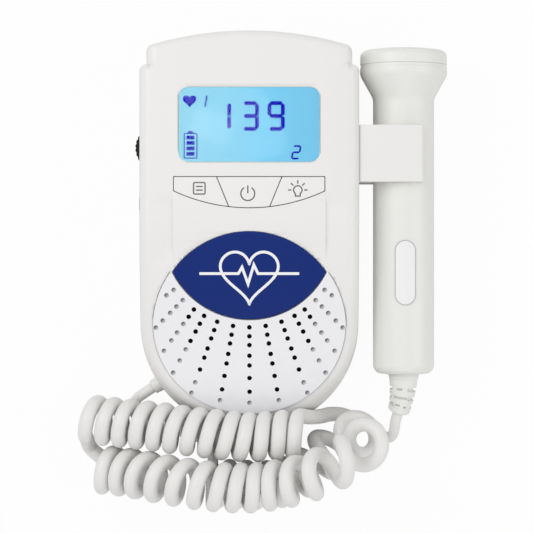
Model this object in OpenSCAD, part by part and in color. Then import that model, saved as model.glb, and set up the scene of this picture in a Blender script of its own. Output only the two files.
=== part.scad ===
// Fetal doppler monitor: hand unit with display and speaker, probe in a side holder, curly cord.
// Millimetres. Origin at the middle of the housing's back face. +Z out of the display,
// +Y towards the display end, +X towards the probe.

/* [Housing] */
// Width of the housing
body_w = 72.8; // [70:0.2:76]
// Length of the housing
body_l = 134.4; // [130:0.2:140]
// Height of the housing over the display
body_h = 34; // [33.6:0.1:35]
// Height of the front shell, from the front down to the seam
front_shell_h = 20.5; // [20:0.1:21.2]
// Shell wall
wall_t = 2; // [1.8:0.1:2.2]
// Width of the narrower display end
cap_w = 68.2; // [67:0.2:69.6]
// Radius of the display end seen from the front
cap_arc_r = 115; // [105:1:125]
// Corner radius of the display end
cap_corner_r = 3; // [2.4:0.1:4]
// Length of the narrower display end
cap_l = 13.6; // [12.8:0.2:15]
// Radius by which the front falls away towards the nose
slope_r = 110; // [108:1:111]
// Radius along the front edges
edge_r = 4.5; // [4:0.1:4.8]
// Flat front ends this far inside the side
edge_in = 3.8; // [3.6:0.1:4.2]
// Turn of the edge radius before the straight flank
edge_turn = 50; // [46:1:54]
// Radius along the back edges
base_r = 2; // [1.2:0.1:2.4]
// Radius along the front edge of the display end
cap_edge_r = 2.4; // [1.6:0.1:2.8]

/* [Speaker cover and badge] */
// Radius of the swept grille cover
cover_r = 32.1; // [31:0.1:32.2]
// How far the cover stands proud
cover_proud = 0.8; // [0.4:0.1:1]
// How deep the cover is let in
cover_sunk = 0.8; // [0.6:0.1:1]
// Grille hole diameter
grille_hole_d = 1.6; // [1.2:0.1:1.8]
// Half width of the badge between its tips
badge_half_w = 25.4; // [24:0.1:26]
// Badge tips above the centre of the nose
badge_up = 18.05; // [17.6:0.05:18.4]
// Rise of the badge above its tips
badge_rise = 13.4; // [12.8:0.05:13.8]
// Fall of the badge below its tips
badge_fall = 15.8; // [15.4:0.05:16.2]
// Thickness of the badge plate
badge_t = 1.1; // [0.8:0.1:1.2]
// How deep the badge is let in
badge_sunk = 0.8; // [0.6:0.1:1]

/* [Display] */
// Width of the display window
window_w = 46.6; // [44:0.2:48]
// Height of the display window
window_h = 24.7; // [23:0.1:25.6]
// Middle of the window from the display end
window_from_end = 31.2; // [30.7:0.1:31.7]
// Corner radius of the window
window_corner_r = 3.2; // [2:0.1:4]
// Thickness of the window
window_t = 1.1; // [0.9:0.1:1.2]
// How far the window lies below the front
window_drop = 0.4; // [0.2:0.1:0.5]
// Width of the ledge that carries the window
window_ledge = 1.4; // [1:0.1:2]
// Thickness of the LCD glass
lcd_t = 2.8; // [2.4:0.1:3]

/* [Buttons] */
// Half width of the button row
keys_half_w = 25.1; // [24:0.1:25.6]
// Height of the button row in its middle
keys_h = 10.55; // [10:0.05:11]
// Height of its bowed lower part
keys_bow = 5.6; // [5:0.1:6]
// Half width of the middle button at its top
key_split_top = 10.85; // [10:0.05:11.4]
// Half width of the middle button at its bottom
key_split_low = 6.55; // [6:0.05:7.2]
// How far the buttons stand proud
key_proud = 0.6; // [0.3:0.1:0.9]
// Travel of a button
key_travel = 0.8; // [0.6:0.1:0.9]
// Gap round the buttons
key_gap = 0.25; // [0.2:0.05:0.35]

/* [Volume and headphone socket] */
// Diameter of the volume wheel
wheel_d = 15; // [14:0.1:16]
// Thickness of the volume wheel
wheel_t = 3.2; // [2.8:0.1:3.4]
// Wheel axle from the display end
wheel_from_end = 38.45; // [37:0.05:40]
// How far the wheel sticks out of the side
wheel_out = 1.9; // [1.4:0.1:2.2]
// Socket bore radius
jack_bore_r = 1.8; // [1.7:0.05:1.9]
// Socket from the display end
jack_from_end = 57.2; // [56:0.1:58]

/* [Battery bay] */
// Diameter of a cell
cell_d = 14.3; // [14:0.1:14.5]
// Length of a cell with its tip
cell_l = 50.4; // [49.5:0.1:50.5]
// Distance between the cells
cell_pitch = 15.8; // [15.4:0.1:16.2]
// Middle of the bay from the display end
bay_from_end = 49.7; // [49.2:0.1:50.2]
// Inside length of the bay along X
bay_l = 56; // [55.5:0.1:56.5]
// Inside width of the bay along Y
bay_w = 33; // [32.6:0.1:33.4]
// Thickness of the battery door
door_t = 1.8; // [1.6:0.1:1.9]
// Gap round the battery door
door_gap = 0.3; // [0.2:0.05:0.4]

/* [Side holder] */
// Length of the holder along the unit
holder_l = 18.9; // [16:0.1:21]
// Middle of the holder from the display end
holder_from_end = 40.55; // [39:0.05:42]
// How far the holder reaches out from the housing
holder_reach = 21.6; // [20.6:0.1:22.6]
// Back of the holder
holder_low_z = 3.5; // [3:0.1:4]
// Front of the holder
holder_high_z = 30.5; // [30:0.1:31.4]

/* [Probe] */
// Probe axis from the side of the housing
probe_from_side = 15.55; // [15.2:0.05:15.9]
// Probe axis height
probe_z = 17; // [16.8:0.1:17.2]
// Handle diameter
handle_d = 20.55; // [20:0.05:21]
// Clearance of the handle in the holder
holder_gap = 0.33; // [0.3:0.01:0.45]
// Rear end of the handle
handle_low_y = -47.06; // [-50:0.02:-45]
// Start of the bell
bell_low_y = 45.6; // [45:0.1:46.5]
// End of the bell's cone
bell_high_y = 53; // [52.4:0.1:53.8]
// Seam of the face cap
face_low_y = 56.35; // [55.8:0.05:57]
// Front of the face cap
face_high_y = 62.9; // [62:0.1:64]
// Head diameter
head_d = 29.3; // [28.4:0.1:29.8]
// Wall of the handle tube
handle_wall = 1.6; // [1.4:0.1:2]

/* [Cord] */
// Diameter of the curly cord
curl_d = 4.6; // [4.4:0.05:4.7]
// Radius of the curl at the middle of the cord
curl_r = 6.05; // [6:0.01:6.1]
// Diameter of the straight leads
lead_d = 3.6; // [3.2:0.1:3.8]

/* [Parts] */
// Which part to build

/* [Hidden] */
$fn = 64;

// Housing
half_w = body_w / 2;
half_l = body_l / 2;
nose_y = half_w - half_l;
split_z = body_h - front_shell_h;
shoulder_y = half_l - cap_l;
cap_half_w = cap_w / 2;
cap_arc_y = half_l - cap_arc_r;
cap_corner_x = cap_half_w - cap_corner_r;
cap_corner_y = cap_arc_y + sqrt(pow(cap_arc_r - cap_corner_r, 2) - pow(cap_corner_x, 2));
shoulder_r = half_w - cap_half_w;
cap_step_y = shoulder_y + shoulder_r;
// The nose falls by an exact 44 : 117 : 125 triangle, so that the fall and the nose meet in one plane.
nose_fall = 44 / 125;
nose_run = 117 / 125;
nose_tilt = atan2(nose_fall, nose_run);
slope_start_y = nose_y + slope_r * nose_fall;
slope_axis_z = body_h - slope_r;
nose_z = slope_axis_z + slope_r * nose_run;
slope_sweep = 30;
profile_depth = 40;
flank_l = 14;
beyond = 80;
// How far a cut runs on past the face that it opens
overcut = 1;
glass_fit = 0.05;

// Stack under the display
window_high_z = body_h - window_drop;
window_low_z = window_high_z - window_t;
roof_z = body_h - wall_t;
lcd_low_z = roof_z - lcd_t;
board_t = 1.6;
backlight_t = 3.4;
backlight_inset = 0.5;
board_high_z = lcd_low_z - backlight_t;
board_low_z = board_high_z - board_t;
lcd_margin = 2.2;
window_y = half_l - window_from_end;
board_low_y = half_l - 66.7;
board_high_y = half_l - 6.2;
board_inset = 0.6;
board_boss_gap = 0.3;

// Screws of the housing
boss_r = 3.2;
screw_r = 1.2;
screw_fit = 0.03;
screw_head_r = 2.3;
screw_head_gap = 0.2;
screw_head_low_z = 1.6;
screw_head_h = 1.8;
screw_end_z = 22;
screw_pass_gap = 0.1;
screw_seat = 0.6;
slot_w = 0.5;
slot_share = 0.6;
slot_depth = 0.5;
boss_high = [30.4, half_l - 19.7];
boss_low = [26.5, nose_y + 6.8];
boss_places = [boss_high, [-boss_high[0], boss_high[1]], boss_low, [-boss_low[0], boss_low[1]]];
post_low = [29, half_l - 62.2];
post_high = [27, half_l - 11.2];
post_places = [post_low, [-post_low[0], post_low[1]], post_high, [-post_high[0], post_high[1]]];
post_r = 2.4;
pin_r = 1;
pin_fit = 0.1;
pin_low_z = board_low_z - 0.8;

// Buttons and their switches
keys_above_fall = 0.38;
keys_low_y = slope_start_y + keys_above_fall;
keys_side_y = keys_low_y + keys_bow;
keys_top_y = keys_low_y + keys_h;
key_flange = 1;
key_flange_t = 1.1;
key_flange_gap = 0.1;
key_flange_high_z = roof_z - key_flange_gap;
key_stem_r = 1.6;
key_stem_gap = 0.05;
switch_w = 6;
switch_h = 2.6;
switch_cap_h = 0.7;
switch_cap_r = 1.7;
key_places = [[-17.5, keys_low_y + 6.7], [0, keys_low_y + 5.7], [17.5, keys_low_y + 6.7]];

// Badge and cover
badge_fit = 0.15;
cover_fit = 0.15;
cover_edge_r = 0.7;
badge_tip_y = nose_y + badge_up;
badge_top_y = badge_tip_y + badge_rise;
badge_low_y = badge_tip_y - badge_fall;
cover_to_badge = 0.3;
grille_y = nose_y + 30.9;
grille_rings = [31.3, 34.3, 37.3, 40.9, 44.2, 48.5, 53.2, 57];
// Columns of the grille: degrees, holes in the column, holes that go right through
grille_columns = [[0, 8, 7], [10, 8, 7], [20, 8, 6], [28.7, 7, 4], [36, 6, 2], [44.7, 5, 0], [53, 2, 0]];
dimple_depth = 0.6;

// Speaker, in the tilted frame of the nose
speaker_y = nose_y - 3.3;
speaker_glue_t = 0.05;
speaker_r = 20;
speaker_open_r = 17;
speaker_ring_t = 1.2;
speaker_ring_h = 4;
speaker_fit = 0.1;
speaker_seat = 3.4;
speaker_rim_t = 1.8;
basket_depth = 7;
magnet_r = 9;
magnet_h = 4.5;
basket_foot = 2;
magnet_plate_t = 0.6;
rim_lip = 0.5;
cone_t = 0.4;
cone_low_r = 4;
cone_fit = 0.02;
cone_r = speaker_open_r - cone_fit;
cone_depth = 3;
cone_dome_h = 0.8;
cone_roll_z = 0.7;
cone_roll_w = 1.2;
cone_edge_w = 1;
speaker_opening_in = 1;

// Volume wheel and pot
wheel_r = wheel_d / 2;
wheel_x = wheel_r - wheel_out - half_w;
wheel_y = half_l - wheel_from_end;
bay_roof_t = 1.2;
cell_z = 9.4;
bay_roof_z = 17;
bay_top_z = bay_roof_z + bay_roof_t;
wheel_gap = 0.35;
wheel_low_z = bay_top_z + wheel_gap;
wheel_high_z = wheel_low_z + wheel_t;
pot_r = 3.4;
axle_r = 1.5;
axle_fit = 0.05;
knurl_r = 0.45;
knurl_count = 30;
pot_gap = 0.25;
axle_sink = 0.2;

// Headphone socket
jack_w = 6;
jack_low_z = bay_top_z + 0.2;
jack_z = (jack_low_z + board_low_z) / 2;
jack_y = half_l - jack_from_end;
jack_l = 13.3;
jack_gap = 0.1;
jack_back_x = wall_t + jack_gap - half_w;
jack_nose_r = 2.6;
jack_nose_out = 0.5;
jack_bore_l = 12;
jack_nose_fit = 0.05;

// Battery bay
bay_y = half_l - bay_from_end;
bay_wall_t = 1.5;
door_half_l = bay_l / 2 + 0.5;
door_low_y = bay_y - bay_w / 2 - 0.5;
door_high_y = bay_y + bay_w / 2 + 0.5;
door_axis_y = door_low_y + door_t / 2;
door_axis_z = door_t / 2;
door_pin_r = 0.55;
door_pin_l = 1.2;
door_pin_fit = 0.05;
door_seat_gap = 0.02;
thumb_notch_r = 1;
thumb_notch_in = 1.2;
thumb_notch_drop = 0.4;
grip_lines = 3;
grip_from_edge = 5;
grip_line_w = 0.7;
grip_pitch = 1.6;
grip_depth = 0.35;
cell_tip_r = 2.75;
cell_tip_l = 1.2;
cell_end_x = cell_l / 2;
contact_t = 0.5;
contact_w = 10;
contact_low_z = 4;
contact_high_z = 15;
spring_wire_r = 0.4;
spring_r = 3.6;
spring_rings = 3;
spring_flare = 0.1;
spring_sink = 0.05;
bump_tip_r = 1.6;
bump_foot_r = 2.6;
bump_sink = 0.1;
thumb_notch_w = 14;

// Holder
holder_bore_r = handle_d / 2 + holder_gap;
holder_y = half_l - holder_from_end;
holder_out_x = half_w + holder_reach;
holder_bevel = 0.8;
holder_corner_r = 1.6;
holder_length_low_y = holder_y - holder_l / 2;
holder_screw_dy = 5.5;
holder_screw_z = 9.5;
holder_screw_l = 3.6;
holder_screw_room = 0.1;

// Probe
probe_x = half_w + probe_from_side;
handle_r = handle_d / 2;
handle_in_r = handle_r - handle_wall;
head_r = head_d / 2;
head_wall = 1.8;
handle_end_r = 3;
spigot_fit = 0.05;
spigot_l = 5.6;
spigot_t = 1.4;
collar_r = 5.3;
collar_t = 0.54;
collar_neck_r = 3.95;
collar_fit = 0.05;
handle_end_t = 2.6;
face_t = 1.5;
face_corner_r = 3;
carrier_t = 3.6;
crystal_t = 1.2;
crystal_r = 10.5;
crystal_split = 1;
carrier_gap = 0.05;
relief_y = handle_low_y - collar_t;
relief_big_r = 4.9;
relief_small_r = 3.65;
relief_turn = 24;
relief_bend_r = 30;
relief_rings = 6;
relief_groove = 1.2;
relief_core_r = 3.3;
relief_lean = atan2(0.8, 0.6);
probe_board_t = 1.2;
probe_board_w = 13;
probe_board_low_y = handle_low_y + 13.06;
label_l = 21.7;
label_w = 7;
label_y = -13;
label_t = 0.12;
label_reach = 1;

// Grommet
grommet_angle = 213;
grommet_z = 7;
grommet_out = 3;
grommet_flange_r = 3.4;
grommet_flange_t = 0.8;
grommet_flange_gap = 0.25;
grommet_neck_r = 2.7;
grommet_tip_r = 2.4;
grommet_fit = 0.04;
grommet_collar = 0.3;
grommet_bore_r = 1;
grommet_bore_l = 1.2;

// ---- Housing forms ----

// Outline seen from the front, set in by inset.
module body_outline(inset) {
    translate([0, nose_y]) circle(half_w - inset, $fn = 96);
    translate([-half_w + inset, nose_y]) square([body_w - 2 * inset, shoulder_y - nose_y]);
    for (side = [-1, 1])
        translate([side * cap_half_w, shoulder_y]) circle(shoulder_r - min(inset, shoulder_r * 0.6));
    translate([-cap_half_w + inset, nose_y]) square([cap_w - 2 * inset, cap_corner_y - nose_y]);
    for (side = [-1, 1])
        translate([side * cap_corner_x, cap_corner_y]) circle(cap_corner_r - min(inset, cap_corner_r * 0.8));
    intersection() {
        translate([0, cap_arc_y]) circle(cap_arc_r - inset, $fn = 180);
        polygon([[0, cap_arc_y],
            [cap_corner_x * 1.2, cap_arc_y + (cap_corner_y - cap_arc_y) * 1.2],
            [-cap_corner_x * 1.2, cap_arc_y + (cap_corner_y - cap_arc_y) * 1.2]]);
    }
}

// Right half of the section across the front: flat, edge radius, straight flank.
module crown_half(half, sink) {
    flat = half - edge_in;
    edge_x = flat + edge_r * sin(edge_turn);
    edge_y = edge_r * cos(edge_turn) - edge_r;
    translate([0, -sink]) {
        translate([0, -profile_depth]) square([flat, profile_depth]);
        translate([flat, -edge_r]) circle(edge_r);
        polygon([[flat, -edge_r], [edge_x, edge_y],
            [edge_x + flank_l * cos(edge_turn), edge_y - flank_l * sin(edge_turn)],
            [edge_x + flank_l * cos(edge_turn), -profile_depth], [flat, -profile_depth]]);
    }
}

module crown_section(half, sink) {
    crown_half(half, sink);
    mirror([1, 0]) crown_half(half, sink);
}

// A section in X and height, drawn out along Y from y0 to y1 with its zero at height z.
module along_y(y0, y1, z) {
    translate([0, y1, z]) rotate([90, 0, 0]) linear_extrude(y1 - y0) children();
}

// A section in X and height, swung down the fall of the front as far as the nose.
module down_the_slope() {
    intersection() {
        translate([0, slope_start_y, slope_axis_z]) rotate([90, 0, 90]) rotate([0, 0, 90])
            rotate_extrude(angle = slope_sweep, $fn = 180)
                translate([slope_r, 0]) mirror([1, 0]) rotate(90) children();
        nose_frame() block(-beyond, beyond, 0, 2 * beyond, -2 * beyond, beyond);
    }
}

// The tilted frame of the nose: its origin on the front over the nose centre, its Z square to the front.
module nose_frame() {
    translate([0, nose_y, nose_z]) rotate([nose_tilt, 0, 0]) children();
}

// Everything under the front surface, lowered by sink.
module crown_body(sink) {
    along_y(slope_start_y, cap_step_y, body_h) crown_section(half_w, sink);
    along_y(cap_step_y, beyond, body_h) crown_section(cap_half_w, sink);
    down_the_slope() crown_section(half_w, sink);
    nose_frame() rotate([0, 0, 180]) rotate_extrude(angle = 180, $fn = 96) crown_half(half_w, sink);
}

module base_half(half) {
    translate([0, base_r]) square([half, body_h]);
    square([half - base_r, body_h]);
    translate([half - base_r, base_r]) circle(base_r);
}

// Everything inside the rounded back edge.
module base_body() {
    along_y(nose_y, cap_step_y, 0) {
        base_half(half_w);
        mirror([1, 0]) base_half(half_w);
    }
    along_y(cap_step_y, beyond, 0) {
        base_half(cap_half_w);
        mirror([1, 0]) base_half(cap_half_w);
    }
    translate([0, nose_y, 0]) rotate([0, 0, 180]) rotate_extrude(angle = 180, $fn = 96) base_half(half_w);
}

// Disc that rounds the display end at front and back.
module cap_disc() {
    translate([0, cap_arc_y, 0]) rotate_extrude($fn = 180) {
        square([cap_arc_r - cap_edge_r, body_h]);
        translate([0, base_r]) square([cap_arc_r, body_h - base_r - cap_edge_r]);
        translate([cap_arc_r - cap_edge_r, body_h - cap_edge_r]) circle(cap_edge_r);
        translate([cap_arc_r - base_r, base_r]) circle(base_r);
    }
}

module outer_body() {
    intersection() {
        linear_extrude(body_h) body_outline(0);
        crown_body(0);
        base_body();
        cap_disc();
    }
}

module inner_body() {
    intersection() {
        translate([0, 0, wall_t]) linear_extrude(body_h) body_outline(wall_t);
        crown_body(wall_t);
    }
}

module block(x0, x1, y0, y1, z0, z1) {
    translate([x0, y0, z0]) cube([x1 - x0, y1 - y0, z1 - z0]);
}

module pin(place, r, z0, z1) {
    translate([place[0], place[1], z0]) cylinder(r = r, h = z1 - z0);
}

// ---- Badge and cover outlines ----

// Radius of the arc through both badge tips and a point on the middle line.
function badge_arc_r(y) = (pow(badge_half_w, 2) + pow(y - badge_tip_y, 2)) / (2 * abs(y - badge_tip_y));

module badge_outline(grow) {
    high_r = badge_arc_r(badge_top_y);
    low_r = badge_arc_r(badge_low_y);
    intersection() {
        translate([0, badge_top_y - high_r]) circle(high_r + grow, $fn = 120);
        translate([0, badge_low_y + low_r]) circle(low_r + grow, $fn = 120);
    }
}

// The tilted frame with its origin on the front over the middle of the speaker.
module speaker_place() {
    translate([0, speaker_y, front_z(speaker_y)]) rotate([nose_tilt, 0, 0]) children();
}

// A layer that follows the fall of the front between two depths.
module slope_layer(low, high) {
    down_the_slope() translate([-half_w, low]) square([body_w, high - low]);
}

module cover_shape(r, low, high, edge) {
    nose_frame() rotate([0, 0, 180]) rotate_extrude(angle = 180, $fn = 96) {
        translate([0, low]) square([r, high - low - edge]);
        translate([0, low]) square([r - edge, high - low]);
        translate([r - edge, high - edge]) circle(edge, $fn = 32);
    }
    intersection() {
        slope_layer(low, high);
        nose_frame() translate([0, 0, -profile_depth / 2]) cylinder(r = r, h = profile_depth, $fn = 96);
    }
}

// Takes away what lies above the lower edge of the badge.
module above_badge(grow) {
    low_r = badge_arc_r(badge_low_y);
    linear_extrude(beyond) {
        translate([0, badge_low_y + low_r]) circle(low_r + grow, $fn = 120);
        translate([-half_w, badge_tip_y]) square([body_w, body_w]);
    }
}

function front_z(y) = y < nose_y ? nose_z + (y - nose_y) * tan(nose_tilt)
    : slope_axis_z + sqrt(pow(slope_r, 2) - pow(min(y, slope_start_y) - slope_start_y, 2));

module grille_holes() {
    for (column = grille_columns)
        for (side = column[0] == 0 ? [1] : [-1, 1])
            for (i = [0 : column[1] - 1]) {
                x = side * grille_rings[i] * sin(column[0]);
                y = grille_y - grille_rings[i] * cos(column[0]);
                depth = i < column[2] ? wall_t * 2 : dimple_depth;
                translate([x, y, front_z(y) + cover_proud - depth])
                    cylinder(d = grille_hole_d, h = depth + wall_t, $fn = 16);
            }
}

// ---- Button outlines ----

module keys_outline(grow) {
    low_r = (pow(keys_half_w, 2) + pow(keys_side_y - keys_low_y, 2)) / (2 * (keys_side_y - keys_low_y));
    intersection() {
        translate([-keys_half_w - grow, keys_low_y - grow])
            square([2 * (keys_half_w + grow), keys_top_y - keys_low_y + 2 * grow]);
        translate([0, keys_low_y + low_r]) circle(low_r + grow, $fn = 180);
    }
}

// The share of the row that belongs to one button: -1 left, 0 middle, 1 right.
module key_sector(index, gap) {
    slope = (key_split_top - key_split_low) / (keys_top_y - keys_low_y);
    high_x = key_split_top + slope * wall_t;
    low_x = key_split_low - slope * wall_t;
    high_y = keys_top_y + wall_t;
    low_y = keys_low_y - wall_t;
    if (index == 0)
        polygon([[-high_x + gap, high_y], [high_x - gap, high_y], [low_x - gap, low_y], [-low_x + gap, low_y]]);
    else
        polygon([[index * (high_x + gap), high_y], [index * half_w, high_y],
            [index * half_w, low_y], [index * (low_x + gap), low_y]]);
}

module key_shape(index) {
    translate([0, 0, key_flange_high_z - key_flange_t])
        linear_extrude(body_h + key_proud - key_flange_high_z + key_flange_t) intersection() {
            keys_outline(-key_gap);
            key_sector(index, key_gap / 2);
        }
    translate([0, 0, key_flange_high_z - key_flange_t]) linear_extrude(key_flange_t) intersection() {
        keys_outline(key_flange);
        key_sector(index, key_gap / 2);
    }
    pin(key_places[index + 1], key_stem_r, board_high_z + switch_h + key_travel + key_stem_gap,
        key_flange_high_z);
}

module mode_button() {
    color([0.92, 0.92, 0.91]) key_shape(-1);
}

module power_button() {
    color([0.92, 0.92, 0.91]) key_shape(0);
}

module light_button() {
    color([0.92, 0.92, 0.91]) key_shape(1);
}

// ---- Shells ----

module grommet_frame() {
    translate([0, nose_y, grommet_z]) rotate([0, 0, grommet_angle]) rotate([0, 90, 0]) children();
}

module wheel_room() {
    pin([wheel_x, wheel_y], wheel_r + wheel_gap, wheel_low_z - wheel_gap, wheel_high_z + wheel_gap);
}

module jack_hole() {
    translate([-half_w - overcut, jack_y, jack_z]) rotate([0, 90, 0])
        cylinder(r = jack_nose_r + jack_nose_fit, h = wall_t + 2 * overcut);
}

module rear_housing() {
    color([0.92, 0.92, 0.91]) difference() {
        union() {
            difference() {
                intersection() {
                    outer_body();
                    block(-beyond, beyond, -beyond, beyond, 0, split_z);
                }
                inner_body();
            }
            block(-bay_l / 2 - bay_wall_t, bay_l / 2 + bay_wall_t, bay_y - bay_w / 2 - bay_wall_t,
                bay_y + bay_w / 2 + bay_wall_t, door_t / 2, bay_top_z);
            for (place = boss_places) pin(place, boss_r, wall_t / 2, split_z);
        }
        block(-bay_l / 2, bay_l / 2, bay_y - bay_w / 2, bay_y + bay_w / 2, -overcut, bay_roof_z);
        block(-door_half_l - door_gap, door_half_l + door_gap, door_low_y - door_gap,
            door_high_y + door_gap, -overcut, door_t + door_seat_gap);
        translate([-door_half_l - door_pin_l - door_gap, door_axis_y, door_axis_z]) rotate([0, 90, 0])
            cylinder(r = door_pin_r + door_pin_fit, h = 2 * (door_half_l + door_pin_l + door_gap), $fn = 24);
        for (place = boss_places) {
            pin(place, screw_head_r + screw_head_gap, -overcut, screw_head_low_z + screw_head_h);
            pin(place, screw_r + screw_pass_gap, -overcut, split_z + overcut);
        }
        grommet_frame() cylinder(r = grommet_neck_r + grommet_fit, h = beyond);
        for (side = [-1, 1])
            translate([half_w - wall_t - overcut, holder_y + side * holder_screw_dy, holder_screw_z])
                rotate([0, 90, 0]) cylinder(r = screw_r + screw_pass_gap, h = wall_t + 2 * overcut);
    }
}

module front_housing() {
    color([0.92, 0.92, 0.91]) difference() {
        intersection() {
            outer_body();
            block(-beyond, beyond, -beyond, beyond, split_z, beyond);
        }
        difference() {
            inner_body();
            for (place = boss_places) pin(place, boss_r, 0, body_h);
            for (place = post_places) {
                pin(place, post_r, board_high_z, body_h);
                pin(place, pin_r, pin_low_z, body_h);
            }
            // seat and rim for the speaker
            speaker_place() translate([0, 0, -speaker_seat - speaker_ring_h]) difference() {
                cylinder(r = speaker_r + speaker_fit + speaker_ring_t, h = speaker_ring_h + speaker_seat,
                    $fn = 96);
                translate([0, 0, -overcut])
                    cylinder(r = speaker_r + speaker_fit, h = speaker_ring_h + overcut, $fn = 96);
            }
        }
        for (place = boss_places) pin(place, screw_r + screw_fit, 0, screw_end_z + overcut);
        // window
        translate([0, 0, window_low_z]) linear_extrude(body_h) window_outline(glass_fit);
        translate([0, 0, roof_z - overcut]) linear_extrude(body_h) window_outline(-window_ledge);
        // buttons
        translate([0, 0, roof_z - overcut]) linear_extrude(body_h) keys_outline(0);
        // badge and cover
        intersection() {
            linear_extrude(beyond) badge_outline(badge_fit);
            slope_layer(-badge_sunk, wall_t * 2);
        }
        difference() {
            cover_shape(cover_r + cover_fit, -cover_sunk, wall_t * 2, 0.01);
            above_badge(cover_to_badge - cover_fit);
        }
        difference() {
            speaker_place() translate([0, 0, -speaker_seat - overcut])
                cylinder(r = speaker_open_r - speaker_opening_in, h = speaker_seat + wall_t, $fn = 96);
            above_badge(cover_to_badge + wall_t);
        }
        wheel_room();
        jack_hole();
    }
}

module window_outline(grow) {
    r = window_corner_r + grow;
    w = window_w / 2 - window_corner_r;
    h = window_h / 2 - window_corner_r;
    translate([0, window_y]) {
        for (x = [-w, w]) for (y = [-h, h]) translate([x, y]) circle(r);
        translate([-w - r, -h]) square([2 * (w + r), 2 * h]);
        translate([-w, -h - r]) square([2 * w, 2 * (h + r)]);
    }
}

module speaker_cover() {
    color([0.93, 0.93, 0.94]) difference() {
        cover_shape(cover_r, -cover_sunk, cover_proud, cover_edge_r);
        above_badge(cover_to_badge);
        grille_holes();
    }
}

module badge() {
    color([0.11, 0.2, 0.47]) intersection() {
        linear_extrude(beyond) badge_outline(0);
        slope_layer(-badge_sunk, badge_t - badge_sunk);
    }
}

// ---- Display ----

module display_window() {
    color([0.75, 0.85, 0.9, 0.5]) translate([0, 0, window_low_z]) linear_extrude(window_t) window_outline(0);
}

module lcd_panel() {
    color([0.5, 0.82, 0.95]) block(-window_w / 2 - lcd_margin, window_w / 2 + lcd_margin,
        window_y - window_h / 2 - lcd_margin / 2, window_y + window_h / 2 + lcd_margin, lcd_low_z, roof_z);
}

module lcd_backlight() {
    color([0.9, 0.95, 0.97]) {
        block(-window_w / 2 - lcd_margin + backlight_inset, window_w / 2 + lcd_margin - backlight_inset,
            window_y - window_h / 2 - lcd_margin / 2 + backlight_inset,
            window_y + window_h / 2 + lcd_margin - backlight_inset, board_high_z, lcd_low_z);
    }
}

// ---- Electronics ----

module tact_switches() {
    color([0.15, 0.15, 0.16]) for (place = key_places) {
        block(place[0] - switch_w / 2, place[0] + switch_w / 2, place[1] - switch_w / 2,
            place[1] + switch_w / 2, board_high_z, board_high_z + switch_h - switch_cap_h);
        pin(place, switch_cap_r, board_high_z, board_high_z + switch_h);
    }
}

module main_board() {
    color([0.1, 0.35, 0.18]) difference() {
        intersection() {
            block(-half_w + wall_t + board_inset, half_w - wall_t - board_inset, board_low_y, board_high_y,
                board_low_z, board_high_z);
            translate([0, 0, board_low_z]) linear_extrude(board_t) body_outline(wall_t + board_inset);
        }
        for (place = boss_places) pin(place, boss_r + board_boss_gap, 0, body_h);
        for (place = post_places) pin(place, pin_r + pin_fit, 0, body_h);
    }
}

module speaker_frame() {
    color([0.35, 0.36, 0.38]) speaker_place() translate([0, 0, -speaker_seat - speaker_glue_t])
        rotate_extrude($fn = 96)
            polygon([[speaker_open_r, 0], [speaker_r, 0], [speaker_r, -speaker_rim_t],
                [magnet_r + basket_foot, -basket_depth], [magnet_r, -basket_depth],
                [magnet_r, -basket_depth - magnet_h], [0, -basket_depth - magnet_h],
                [0, -basket_depth + magnet_plate_t], [magnet_r, -basket_depth + magnet_plate_t],
                [speaker_open_r, -speaker_rim_t + rim_lip]]);
}

module speaker_cone() {
    color([0.12, 0.12, 0.13]) speaker_place() translate([0, 0, -speaker_seat - speaker_glue_t])
        rotate_extrude($fn = 96)
            polygon([[0, cone_dome_h - cone_depth], [cone_low_r, -cone_depth],
                [cone_r - cone_roll_w, -cone_roll_z], [cone_r, -cone_roll_z],
                [cone_r, -cone_roll_z - cone_t], [cone_r - cone_edge_w, -cone_roll_z - cone_t],
                [cone_low_r, -cone_depth - cone_t], [0, cone_dome_h - cone_depth - cone_t]]);
}

module volume_wheel() {
    color([0.1, 0.1, 0.1]) difference() {
        pin([wheel_x, wheel_y], wheel_r, wheel_low_z, wheel_high_z);
        pin([wheel_x, wheel_y], axle_r + axle_fit, 0, body_h);
        for (i = [0 : knurl_count - 1])
            pin([wheel_x + (wheel_r + knurl_r / 2) * cos(i * 360 / knurl_count),
                wheel_y + (wheel_r + knurl_r / 2) * sin(i * 360 / knurl_count)], knurl_r, 0, body_h, $fn = 16);
    }
}

module volume_pot() {
    color([0.2, 0.2, 0.22]) {
        pin([wheel_x, wheel_y], pot_r, wheel_high_z + pot_gap, board_low_z);
        pin([wheel_x, wheel_y], axle_r, wheel_low_z, wheel_high_z + pot_gap + axle_sink);
    }
}

module headphone_jack() {
    color([0.13, 0.13, 0.14]) difference() {
        union() {
            block(jack_back_x, jack_back_x + jack_l, jack_y - jack_w / 2, jack_y + jack_w / 2, jack_low_z,
                board_low_z);
            translate([-half_w - jack_nose_out, jack_y, jack_z]) rotate([0, 90, 0])
                cylinder(r = jack_nose_r, h = wall_t + jack_nose_out + overcut);
        }
        translate([-half_w - jack_nose_out - overcut, jack_y, jack_z]) rotate([0, 90, 0])
            cylinder(r = jack_bore_r, h = jack_bore_l + overcut, $fn = 48);
    }
}

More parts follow.
